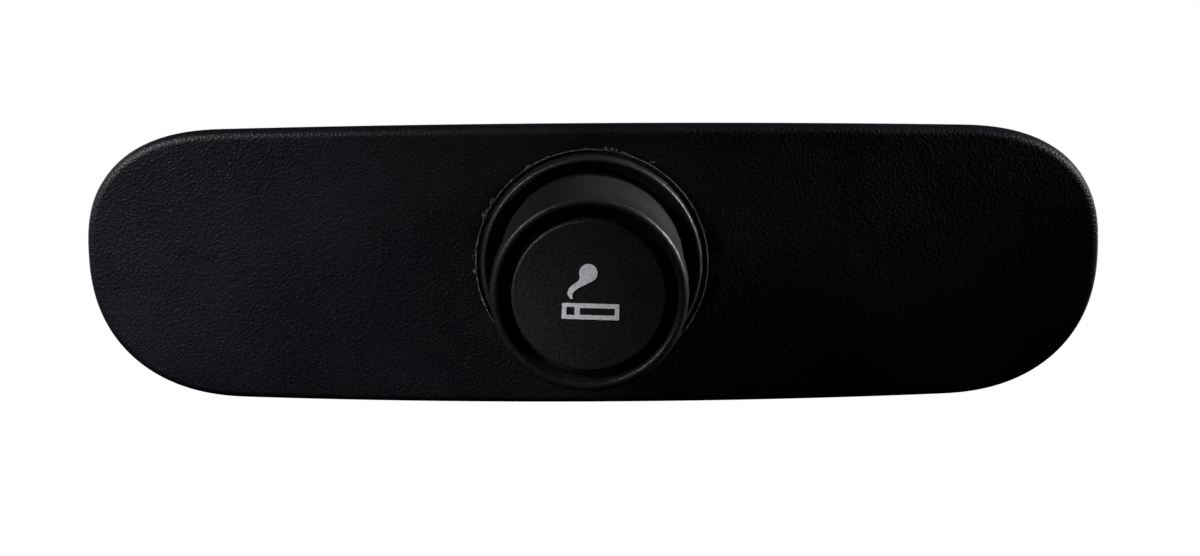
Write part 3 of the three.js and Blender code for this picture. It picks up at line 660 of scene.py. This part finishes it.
def panel_half(quarter, inset):
    """Points (x, height) of the panel's upper or lower half, from its right end to just short of its left."""
    half = HALF_LENGTH - inset
    straight = half - quarter["length"] + inset
    reach = quarter["length"] - inset
    bulge = 2 / quarter["roundness"]

    def height(x):
        return quarter["rise"] - inset - quarter["crown"] * (x / half) ** 2

    corner = []
    for i in range(CORNER_POINTS):
        turn = math.pi / 2 * i / CORNER_POINTS
        x = straight + reach * math.cos(turn) ** bulge
        corner.append((x, height(x) * math.sin(turn) ** bulge))
    edge = []
    for i in range(EDGE_POINTS + 1):
        x = straight * (1 - 2 * i / EDGE_POINTS)
        edge.append((x, height(x)))
    mirrored = [(-x, z) for x, z in reversed(corner)]
    return corner + edge + mirrored[:-1]


def panel_ring(inset, y):
    """A ring round the panel, this far inside its outline."""
    top = [Vector((x, y, END_HEIGHT + z)) for x, z in panel_half(TOP, inset)]
    bottom = [Vector((-x, y, END_HEIGHT - z)) for x, z in panel_half(BOTTOM, inset)]
    end = HALF_LENGTH - inset
    right_end = Vector((end, y, END_HEIGHT))
    left_end = Vector((-end, y, END_HEIGHT))
    return [right_end] + top[1:] + [left_end] + bottom[1:]


def toward_socket(ring, radius, y):
    """A ring round the socket whose points face those of a ring round the panel."""
    return [Vector((p.x, 0, p.z)).normalized() * radius + Vector((0, y, 0)) for p in ring]


def kept_outside(ring, radius):
    """The ring with any point nearer the socket's axis than radius moved out to it."""
    moved = []
    for point in ring:
        flat = Vector((point.x, 0, point.z))
        if flat.length < radius:
            flat = flat.normalized() * radius
        moved.append(Vector((flat.x, point.y, flat.z)))
    return moved


def ragged(ring, amount, size):
    """The ring with its points pushed out from the socket unevenly, as scissors leave leather."""
    pushed = []
    for point in ring:
        flat = Vector((point.x, 0, point.z))
        push = amount * (0.5 + 0.5 * noise.noise(flat / size))
        pushed.append(point + flat.normalized() * push)
    return pushed


FRONT_STEPS = 22
HOLE_EDGE = 0.5 * MM
LEATHER_SWELL = 0.07 * MM
SWELL_SIZE = 9 * MM


def cover_front(front):
    """Rings across the front face, from the rounded edge to the socket's hole, with a slight unevenness."""
    outer = panel_ring(FRONT_ROUND, front)
    inner = toward_socket(outer, SOCKET_HOLE + HOLE_EDGE, front)
    rings = []
    for step in range(FRONT_STEPS + 1):
        share = step / FRONT_STEPS
        swell = LEATHER_SWELL * math.sin(math.pi * share)
        ring = []
        for start, end in zip(outer, inner):
            point = start.lerp(end, share)
            point.y -= swell * noise.noise(point / SWELL_SIZE)
            ring.append(point)
        rings.append(ring)
    return rings


FRONT_ROUND_STEPS = 8
REAR_ROUND_STEPS = 6


def grained_cover():
    """The leather: wrapped round the panel's edge, hemmed behind it, and cut out round the socket."""
    front, rear = PANEL_LOW.y, PANEL_HIGH.y
    inner_front = front + SKIN
    hem_front = rear - SKIN
    rings = []
    for i in range(FRONT_ROUND_STEPS + 1):
        turn = math.pi / 2 * i / FRONT_ROUND_STEPS
        inset = FRONT_ROUND * (1 - math.cos(turn))
        rings.append(panel_ring(inset, front + FRONT_ROUND * (1 - math.sin(turn))))
    rings += cover_front(front)[1:]
    hole = toward_socket(rings[0], SOCKET_HOLE, front)
    # How far behind the face each ring of the hole's edge lies, its raggedness, and the size of that.
    for back, amount, size in ((0.08 * MM, 0.22 * MM, 0.7 * MM), (HOLE_EDGE, 0.12 * MM, 0.5 * MM)):
        rings.append(ragged([point + Vector((0, back, 0)) for point in hole], amount, size))
    rings.append(toward_socket(hole, SOCKET_HOLE, inner_front))
    rings.append(panel_ring(SKIN, inner_front))
    rings.append(panel_ring(SKIN, hem_front))
    rings.append(kept_outside(panel_ring(SKIN + HEM - HEM_ROUND, hem_front), PAD_CLEAR))
    rings.append(kept_outside(panel_ring(SKIN + HEM, hem_front + HEM_ROUND), PAD_CLEAR))
    rings.append(kept_outside(panel_ring(SKIN + HEM, rear - HEM_ROUND), PAD_CLEAR))
    rings.append(kept_outside(panel_ring(SKIN + HEM - 0.25 * MM, rear), PAD_CLEAR + HEM_ROUND))
    for i in range(1, REAR_ROUND_STEPS + 1):
        turn = math.pi / 2 * i / REAR_ROUND_STEPS
        inset = REAR_ROUND * (1 - math.sin(turn))
        rings.append(panel_ring(inset, rear - REAR_ROUND * (1 - math.cos(turn))))
    finished("leather_cover", lofted(rings, closed=True), "socket", "leather", "grained_cover")


# ---------- turned pieces

KNOB_TURN = math.radians(2)
LARGE_FACETS = 40
SMALL_FACETS = 16


def turned_pieces():
    """Every plain turned node: its CAD facets, body, slot, and how far its corners are cut back, in mm."""
    turned("collar", LARGE_FACETS, "socket", "black_plastic", 0.16, finish="satin_plastic")
    turned("knob_body", LARGE_FACETS, "knob", "black_plastic", 0.14, start=KNOB_TURN, finish="satin_plastic")
    for name, facets, body, slot, soft in (
        ("clamp_sleeve", LARGE_FACETS, "socket", "zinc_steel", 0.3),
        ("inner_insulator", LARGE_FACETS, "socket", "fibre_board", 0.15),
        ("outer_insulator", LARGE_FACETS, "socket", "fibre_board", 0.15),
        ("stud_washer_left", SMALL_FACETS, "socket", "zinc_steel", 0.12),
        ("stud_washer_right", SMALL_FACETS, "socket", "zinc_steel", 0.12),
        ("thrust_washer", SMALL_FACETS, "thrust", "zinc_steel", 0.12),
    ):
        turned(name, facets, body, slot, soft)
    for name, facets, slot, soft in (
        ("face_disc", LARGE_FACETS, "black_plastic", 0.10),
        ("knob_insert", SMALL_FACETS, "brass", 0.1),
        ("drive_rod", SMALL_FACETS, "zinc_steel", 0.2),
        ("ceramic_insulator", SMALL_FACETS, "ceramic", 0.25),
        ("heater_cup", LARGE_FACETS, "nickel_steel", 0.2),
        ("coil_rivet", SMALL_FACETS, "zinc_steel", 0.2),
    ):
        turned(name, facets, "knob", slot, soft, start=KNOB_TURN)


def slots_across(reach, front, rear, width, turns):
    """Blocks that cut slots through a ring from its axis outward, one at each turn."""
    half = width / 2
    return [((0, front, -half), (reach, rear, half), turn) for turn in turns]


QUARTERS = [math.pi / 2 * i for i in range(4)]
# A cutter reaches this far past what it cuts.
PAST = MM
SLEEVE_WINDOW = {"front": 12 * MM, "rear": 19 * MM, "width": 8 * MM}
CLIP_SLOT = {"width": 9 * MM, "uncut": 0.6 * MM}
NUT_NOTCH = {"depth": 0.9 * MM, "half_width": 1.5 * MM}
WASHER_SPLIT = {"half_width": 0.25 * MM, "turn": math.radians(60)}
ROD_CLIP_MOUTH = {"half_width": 1.4 * MM, "turn": math.radians(-120)}
BARREL_THREAD = {"pitch": MM, "depth": 0.25 * MM, "ends": MM}


def threaded_barrel():
    """The socket's barrel, with ridges for the ring nut's thread round its rear half."""
    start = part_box("ring_nut")[0].y - BARREL_THREAD["ends"]
    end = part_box("socket_barrel")[1].y - BARREL_THREAD["ends"]
    thread = (start, end, BARREL_THREAD["pitch"], BARREL_THREAD["depth"])
    turned("socket_barrel", LARGE_FACETS, "socket", "zinc_steel", 0.15, ridges=thread)


def cut_through(low, high, cut):
    """A block that cuts a gap from the axis out through a ring, at the cut's turn."""
    half = cut["half_width"]
    return ((0, low.y - PAST, -half), (high.x + PAST, high.y + PAST, half), cut["turn"])


def slotted_pieces():
    """Turned nodes that also have windows, notches or a gap."""
    eighth = math.pi / 4
    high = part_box("guard_sleeve")[1]
    windows = slots_across(
        high.x, SLEEVE_WINDOW["front"], SLEEVE_WINDOW["rear"], SLEEVE_WINDOW["width"], QUARTERS,
    )
    turned("guard_sleeve", LARGE_FACETS, "plug", "nickel_steel", 0.12, cuts=windows, section_turn=eighth)

    low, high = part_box("bimetal_clip")
    rear = high.y - CLIP_SLOT["uncut"]
    slots = slots_across(high.x + PAST, low.y - PAST, rear, CLIP_SLOT["width"], QUARTERS)
    turned("bimetal_clip", LARGE_FACETS, "socket", "brass", 0.1, cuts=slots, section_turn=eighth)

    low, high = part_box("ring_nut")
    half = NUT_NOTCH["half_width"]
    inside = (high.x - NUT_NOTCH["depth"], low.y - PAST, -half)
    outside = (high.x + PAST, high.y + PAST, half)
    notches = [(inside, outside, turn) for turn in QUARTERS]
    turned("ring_nut", LARGE_FACETS, "socket", "zinc_steel", 0.3, cuts=notches, section_turn=eighth)

    split = [cut_through(*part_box("lock_washer"), WASHER_SPLIT)]
    turned("lock_washer", SMALL_FACETS, "socket", "zinc_steel", 0.15, cuts=split)

    mouth = [cut_through(*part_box("rod_clip"), ROD_CLIP_MOUTH)]
    turned("rod_clip", SMALL_FACETS, "knob", "zinc_steel", 0.12, start=KNOB_TURN, cuts=mouth)


# ---------- threads, nuts and blades

THREAD_STEPS = 8


def threaded_rings(radius, depth, pitch, start, end, centre, count):
    """Rings of a screw thread from start to end along Y, fading in and out over one pitch."""
    rings = []
    steps = round((end - start) / pitch * THREAD_STEPS)
    for step in range(steps + 1):
        y = start + (end - start) * step / steps
        fade = min(1.0, (y - start) / pitch, (end - y) / pitch)
        ring = []
        for i in range(count):
            turn = 2 * math.pi * i / count
            phase = (y / pitch - i / count) % 1.0
            here = radius - depth * fade * abs(2 * phase - 1)
            ring.append(Vector((centre[0] + here * math.cos(turn), y, centre[1] + here * math.sin(turn))))
        rings.append(ring)
    return rings


THREAD_ROUND = 64
THREAD_DEPTH = 0.2
TIP_CHAMFER = 0.4 * MM
HEAD_EDGE = 0.12 * MM
PANEL_STUD = {"head_radius": 4 * MM, "head": MM, "radius": 2 * MM, "pitch": 0.7 * MM}
CONTACT_STUD = {"head_radius": 4.5 * MM, "head": 0.8 * MM, "radius": 2.4 * MM, "pitch": 0.8 * MM}


def headed_stud(node, slot, stud, thread_start):
    """A stud with a flat head at its front end, a plain neck, a thread and a chamfered tip."""
    low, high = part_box(node)
    centre = centre_of(node)
    head_radius, radius, pitch = stud["head_radius"], stud["radius"], stud["pitch"]
    head_rear = low.y + stud["head"]
    plain = [
        (0, low.y), (head_radius - HEAD_EDGE, low.y), (head_radius, low.y + HEAD_EDGE),
        (head_radius, head_rear - HEAD_EDGE), (head_radius - HEAD_EDGE, head_rear), (radius, head_rear),
    ]
    rings = [circle(r, y, THREAD_ROUND, centre) for r, y in plain]
    depth = THREAD_DEPTH * pitch
    thread_end = high.y - TIP_CHAMFER
    rings += threaded_rings(radius, depth, pitch, thread_start, thread_end, centre, THREAD_ROUND)
    rings += [circle(r, high.y, THREAD_ROUND, centre) for r in (radius - TIP_CHAMFER, 0)]
    finished(node + "_threaded", lofted(rings), "socket", slot, node)


NUT_ROUND = 72
NUT_FACE = 0.97
NUT_SLOPE = math.tan(math.radians(30))
NUT_LEAD = 0.3 * MM
SIXTH = math.pi / 3


def hex_nut(node, slot, across_flats, bore):
    """A hexagonal nut whose corners are turned off to 30 degrees on both faces."""
    low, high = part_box(node)
    centre = centre_of(node)
    flat = across_flats / 2
    face = flat * NUT_FACE

    def side(front_facing):
        ring = []
        for i in range(NUT_ROUND):
            turn = 2 * math.pi * i / NUT_ROUND + SIXTH / 2
            corner = flat / math.cos(turn % SIXTH - SIXTH / 2)
            drop = (corner - face) * NUT_SLOPE
            y = low.y + drop if front_facing else high.y - drop
            ring.append(Vector((centre[0] + corner * math.cos(turn), y, centre[1] + corner * math.sin(turn))))
        return ring

    def turned_circle(radius, y):
        ring = circle(radius, y, NUT_ROUND, centre)
        shift = NUT_ROUND // 12
        return ring[shift:] + ring[:shift]

    rings = [
        turned_circle(bore, low.y + NUT_LEAD),
        turned_circle(bore + NUT_LEAD, low.y),
        turned_circle(face, low.y),
        side(True),
        side(False),
        turned_circle(face, high.y),
        turned_circle(bore + NUT_LEAD, high.y),
        turned_circle(bore, high.y - NUT_LEAD),
    ]
    finished(node + "_hexagon", lofted(rings, closed=True), "socket", slot, node)


def fasteners():
    """The panel's studs with their nuts, and the live contact with its nut."""
    for hand in ("left", "right"):
        headed_stud("mounting_stud_" + hand, "zinc_steel", PANEL_STUD, thread_start=0)
        hex_nut("stud_nut_" + hand, "zinc_steel", across_flats=7 * MM, bore=2.15 * MM)
    headed_stud("contact_stud", "brass", CONTACT_STUD, thread_start=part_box("outer_insulator")[1].y)
    hex_nut("terminal_nut", "brass", across_flats=8 * MM, bore=2.55 * MM)


def kept_nodes():
    """CAD nodes whose shape is right: they keep their mesh, with softened edges and their own material."""
    for name, slot, width in (
        ("backing_plate", "plate_aluminium", 0.15 * MM),
        ("ground_tab", "brass", 0.12 * MM),
        ("power_tab", "brass", 0.12 * MM),
    ):
        node = NODES[name]
        bevelled(node, width)
        node.data.materials.clear()
        node.data.materials.append(MATERIALS[slot])


# ---------- spring and heating coil

def tube(points, radius, sides):
    """A round wire along points, with closed ends."""
    rings = []
    for i, point in enumerate(points):
        ahead = points[min(i + 1, len(points) - 1)]
        behind = points[max(i - 1, 0)]
        along = (ahead - behind).normalized()
        outward = Vector((point.x, 0, point.z)).normalized()
        across = along.cross(outward).normalized()
        outward = across.cross(along)
        ring = []
        for side in range(sides):
            turn = 2 * math.pi * side / sides
            ring.append(point + (outward * math.cos(turn) + across * math.sin(turn)) * radius)
        rings.append(ring)
    return lofted(rings, caps=True)


SPRING_TURNS = 7.5
SPRING_WIRE = 0.4 * MM
SPRING_STEPS_PER_TURN = 40
# How much of its length each flat end turn takes up.
END_TURN_RISE = 0.035


def return_spring():
    """A compression spring whose end turns lie flat."""
    low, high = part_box("return_spring")
    front, rear = low.y + SPRING_WIRE, high.y - SPRING_WIRE
    radius = high.x - SPRING_WIRE
    steps = round(SPRING_TURNS * SPRING_STEPS_PER_TURN)
    flat_share = 1 / SPRING_TURNS
    points = []
    for step in range(steps + 1):
        share = step / steps
        climb = min(max((share - flat_share) / (1 - 2 * flat_share), 0), 1)
        eased = (1 - 2 * END_TURN_RISE) * climb + END_TURN_RISE * min(share / flat_share, 1)
        if share > 1 - flat_share:
            eased += END_TURN_RISE * (share - 1 + flat_share) / flat_share
        turn = 2 * math.pi * SPRING_TURNS * share
        y = front + (rear - front) * eased
        points.append(Vector((radius * math.cos(turn), y, radius * math.sin(turn))))
    wire = tube(points, SPRING_WIRE, sides=14)
    spring = finished("spring_wire", wire, "plug", "zinc_steel", "return_spring")
    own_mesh(spring)


COIL_TURNS = 4
COIL_STEPS_PER_TURN = 56
COIL_INNER = 2.7 * MM
COIL_OUTER = 7.3 * MM
COIL_WAVE = {"height": 0.06 * MM, "per_turn": 9}
RIBBON_HALF = 0.175 * MM
RIBBON_EDGE = 0.06 * MM


def heating_coil():
    """A flat spiral of ribbon, slightly wavy as wound by hand over its former."""
    low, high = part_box("heating_coil")
    half, edge = RIBBON_HALF, RIBBON_EDGE
    outline = [
        (-half, low.y + edge), (-half + edge, low.y), (half - edge, low.y), (half, low.y + edge),
        (half, high.y - edge), (half - edge, high.y), (-half + edge, high.y), (-half, high.y - edge),
    ]
    steps = COIL_TURNS * COIL_STEPS_PER_TURN
    rings = []
    for step in range(steps + 1):
        share = step / steps
        turn = 2 * math.pi * COIL_TURNS * share - KNOB_TURN
        wave = COIL_WAVE["height"] * math.sin(turn * COIL_WAVE["per_turn"]) * math.sin(math.pi * share)
        radius = COIL_INNER + (COIL_OUTER - COIL_INNER) * share + wave
        rings.append([
            Vector(((radius + out) * math.cos(turn), y, (radius + out) * math.sin(turn)))
            for out, y in outline
        ])
    finished("coil_ribbon", lofted(rings, caps=True), "knob", "heater_alloy", "heating_coil")


# ---------- printed symbol

PRINT_THICKNESS = 0.12 * MM
PRINT_EDGE_WOBBLE = 0.03 * MM
PRINT_WOBBLE_SIZE = 0.5 * MM
# Without a seed, noise_vector gives another wobble on each run.
noise.seed_set(5)


def printed(name, outlines, node):
    """A thin print from closed outlines of (x, z) points, turned with the knob. Later outlines are holes."""
    curve = bpy.data.curves.new(name, "CURVE")
    curve.dimensions = "2D"
    curve.fill_mode = "BOTH"
    curve.extrude = PRINT_THICKNESS / 2
    for outline in outlines:
        spline = curve.splines.new("POLY")
        spline.points.add(len(outline) - 1)
        spline.use_cyclic_u = True
        for point, (x, z) in zip(spline.points, outline):
            push = noise.noise_vector(Vector((x, z, 0)) / PRINT_WOBBLE_SIZE) * PRINT_EDGE_WOBBLE
            point.co = (x + push.x, z + push.y, 0, 1)
    shape = bpy.data.objects.new(name + "_outline", curve)
    bpy.context.scene.collection.objects.link(shape)
    solid = bpy.data.meshes.new_from_object(shape.evaluated_get(bpy.context.evaluated_depsgraph_get()))
    mesh = bmesh.new()
    mesh.from_mesh(solid)
    bpy.data.objects.remove(shape)
    bpy.data.meshes.remove(solid)
    low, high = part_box(node)
    upright = Matrix.Rotation(math.pi / 2, 4, "X")
    place = Matrix.Translation((0, (low.y + high.y) / 2, 0))
    turn = Matrix.Rotation(KNOB_TURN, 4, "Y")
    bmesh.ops.transform(mesh, matrix=turn @ place @ upright, verts=mesh.verts[:])
    finished(name, mesh, "knob", "print_ink", node)


def rectangle(left, right, low, high, step=0.25 * MM, corner=0.1 * MM):
    """Points round a rectangle with slightly rounded corners, close enough together to waver."""
    points = []
    for (x0, z0), (x1, z1) in (
        ((left, low), (right, low)), ((right, low), (right, high)),
        ((right, high), (left, high)), ((left, high), (left, low)),
    ):
        side = Vector((x1 - x0, z1 - z0))
        count = max(2, round(side.length / step))
        for i in range(count + 1):
            reach = corner + (side.length - 2 * corner) * i / count
            here = Vector((x0, z0)) + side.normalized() * reach
            points.append((here.x, here.y))
    return points


CIGARETTE_LENGTH = 7.9 * MM
CIGARETTE_HEIGHT = 2.25 * MM
CIGARETTE_MIDDLE = (0.26 * MM, -2.2 * MM)
PRINT_STROKE = 0.62 * MM
TIP_WINDOW = 1.12 * MM
DIVIDER = 0.72 * MM


def symbol_cigarette():
    """A long box with a small window for the tip and a long one for the paper."""
    x, z = CIGARETTE_MIDDLE
    left, right = x - CIGARETTE_LENGTH / 2, x + CIGARETTE_LENGTH / 2
    low, high = z - CIGARETTE_HEIGHT / 2, z + CIGARETTE_HEIGHT / 2
    tip = left + PRINT_STROKE
    paper = tip + TIP_WINDOW + DIVIDER
    windows = [
        rectangle(tip, tip + TIP_WINDOW, low + 0.9 * PRINT_STROKE, high - 0.85 * PRINT_STROKE),
        rectangle(paper, right - PRINT_STROKE, low + PRINT_STROKE, high - PRINT_STROKE),
    ]
    printed("printed_cigarette", [rectangle(left, right, low, high)] + windows, "symbol_cigarette")


SMOKE_MIDDLE = (-0.16 * MM, 3.27 * MM)
SMOKE_RADIUS = 1.27 * MM
# The head is the arc between these two angles, and the tail's curves close it.
SMOKE_ARC = (math.radians(205), math.radians(-60))
SMOKE_ARC_STEPS = 48
TAIL_STEPS = 10
# The tail's curves as (control, end) offsets from the middle of the head, in head radii.
SMOKE_TAIL = (
    ((-0.2, -1.25), (-0.98, -1.69)),
    ((-1.65, -2.1), (-1.68, -2.5)),
    ((-1.68, -2.7), (-1.61, -2.85)),
    ((-1.72, -3.01), (-1.88, -2.93)),
    ((-2.2, -2.65), (-2.21, -2.3)),
    ((-2.16, -1.79), (-1.61, -1.35)),
    ((-0.95, -0.92), (-0.94, -0.64)),
)


def symbol_smoke():
    """A puff with a round head and a tail that curls down to the cigarette's tip."""
    points = []
    start, end = SMOKE_ARC
    for i in range(SMOKE_ARC_STEPS + 1):
        turn = start + (end - start) * i / SMOKE_ARC_STEPS
        points.append(Vector((math.cos(turn), math.sin(turn))))
    for control, end_point in SMOKE_TAIL:
        begin, middle, finish = points[-1], Vector(control), Vector(end_point)
        for i in range(1, TAIL_STEPS + 1):
            share = i / TAIL_STEPS
            rest = 1 - share
            points.append(begin * rest ** 2 + middle * 2 * share * rest + finish * share ** 2)
    x, z = SMOKE_MIDDLE
    outline = [(x + point.x * SMOKE_RADIUS, z + point.y * SMOKE_RADIUS) for point in points]
    printed("printed_smoke", [outline], "symbol_smoke")


# ---------- frayed leather round the socket

# Where the leather is torn, as (clock angle in degrees from +X, spread, number of slivers).
TORN = ((151, 9, 16), (79, 14, 16), (115, 24, 4), (35, 24, 4), (180, 12, 4))
SLIVER_STEPS = 4
SLIVER_HALF_THICKNESS = 0.02 * MM
SLIVER_LIFT = 0.18 * MM
SLIVER_TIP = 0.01 * MM


def sliver(mesh, root, along, length, width):
    """A thin tapering strip of torn film that lifts a little off the leather."""
    side = along.cross(Vector((0, 1, 0)))
    thick = Vector((0, SLIVER_HALF_THICKNESS, 0))
    rings = []
    for step in range(SLIVER_STEPS + 1):
        share = step / SLIVER_STEPS
        lift = Vector((0, -SLIVER_LIFT * math.sin(math.pi * min(1, share + 0.2)), 0))
        here = root + along * length * share + lift
        half = side * (width * (1 - share) / 2 + SLIVER_TIP)
        rings.append([here - half - thick, here + half - thick, here + half + thick, here - half + thick])
    loft(mesh, rings, caps=True)


def frayed_leather():
    """Slivers of torn leather round the cut edge of the socket's hole, most at the top and upper left."""
    draw = random.Random(11)
    mesh = bmesh.new()
    for middle, spread, amount in TORN:
        for _ in range(amount):
            turn = math.radians(draw.gauss(middle, spread / 2))
            lean = math.radians(draw.choice((-1, 1)) * draw.uniform(40, 85))
            outward = Vector((math.cos(turn), 0, math.sin(turn)))
            around = Vector((-outward.z, 0, outward.x))
            root = outward * (SOCKET_HOLE + draw.uniform(0.05, 0.4) * MM) + Vector((0, PANEL_LOW.y, 0))
            along = outward * math.cos(lean) + around * math.sin(lean)
            sliver(mesh, root, along, draw.uniform(0.25, 1.0) * MM, draw.uniform(0.12, 0.32) * MM)
    finished("frayed_leather", mesh, "socket", "leather", finish="raw_leather")


def cut_edge():
    """The thin raw rim of the leather's cut edge, wavering in width."""
    front = PANEL_LOW.y
    # Each ring: how far outside the hole, how far behind the leather's face, and its raggedness and its size.
    rings = [
        ragged(circle(SOCKET_HOLE + out, front + back, 2 * ROUND), amount, size)
        for out, back, amount, size in (
            (0, 0, 0.10 * MM, 0.6 * MM),
            (0, -0.05 * MM, 0.14 * MM, 0.6 * MM),
            (0.12 * MM, -0.02 * MM, 0.22 * MM, 0.8 * MM),
            (0.2 * MM, 0.2 * MM, 0, 0.8 * MM),
        )
    ]
    finished("cut_edge", lofted(rings, closed=True), "socket", "leather", finish="raw_leather")


# ---------- light and surroundings

def area_light(name, place, aim, size, power, spread=180):
    """A soft light at place, facing aim. Sizes are metres, power is watts, spread is degrees."""
    data = bpy.data.lights.new(name, "AREA")
    data.shape = "RECTANGLE"
    data.spread = math.radians(spread)
    data.size, data.size_y = size
    data.energy = power
    light = bpy.data.objects.new(name, data)
    light.location = place
    light.rotation_euler = (Vector(aim) - Vector(place)).to_track_quat("-Z", "Y").to_euler()
    light.visible_camera = False
    bpy.context.scene.collection.objects.link(light)


def add_lights():
    """A close soft light on the left, a small one on the knob's face, a low strip that grazes the knob's
    right side, and weak fill from above and from behind."""
    area_light("key_left", (-0.15, -0.085, 0.09), (-0.076, 0, 0), (0.08, 0.08), 0.128, spread=54)
    area_light("face_left", (-0.07, -0.12, 0.02), (-0.016, -0.02, -0.008), (0.02, 0.02), 0.0005, spread=18)
    area_light("strip_right", (0.18, -0.011, 0.08), (0.010, -0.012, 0.006), (0.010, 0.05), 0.027, spread=20)
    area_light("fill_top", (-0.12, 0.18, 0.5), (0, 0.02, 0), (0.4, 0.3), 0.06)
    area_light("fill_rear_right", (0.40, 0.35, -0.03), (0, 0.02, 0), (0.3, 0.3), 1.2)
    area_light("fill_rear_left", (-0.40, 0.35, 0.0), (0, 0.02, 0), (0.3, 0.3), 0.8)


FLOOR_DEPTH = 0.35
FLOOR_REACH = 6.0


def add_surroundings():
    """A plain white floor well below, under a white sky. Both are seen but throw no light on the piece."""
    scene = bpy.context.scene
    world = bpy.data.worlds.new("white_sky")
    world.use_nodes = True
    world.node_tree.nodes["Background"].inputs["Color"].default_value = (1, 1, 1, 1)
    scene.world = world
    world.cycles_visibility.diffuse = False
    world.cycles_visibility.glossy = False
    world.cycles_visibility.transmission = False
    world.cycles_visibility.scatter = False
    scene.view_settings.view_transform = "Standard"

    white = bpy.data.materials.new("white_floor")
    white.use_nodes = True
    shader = white.node_tree.nodes["Principled BSDF"]
    shader.inputs["Base Color"].default_value = (1, 1, 1, 1)
    shader.inputs["Emission Color"].default_value = (1, 1, 1, 1)
    shader.inputs["Emission Strength"].default_value = 1
    mesh = bmesh.new()
    corners = ((-1, -1), (1, -1), (1, 1), (-1, 1))
    mesh.faces.new([mesh.verts.new((x * FLOOR_REACH, y * FLOOR_REACH, -FLOOR_DEPTH)) for x, y in corners])
    data = bpy.data.meshes.new("floor")
    mesh.to_mesh(data)
    mesh.free()
    data.materials.append(white)
    floor = bpy.data.objects.new("floor", data)
    floor.visible_diffuse = False
    floor.visible_glossy = False
    scene.collection.objects.link(floor)


# ---------- the scene

add_camera()
add_surroundings()
add_lights()
grained_cover()
cut_edge()
frayed_leather()
turned_pieces()
threaded_barrel()
slotted_pieces()
fasteners()
kept_nodes()
return_spring()
heating_coil()
symbol_cigarette()
symbol_smoke()
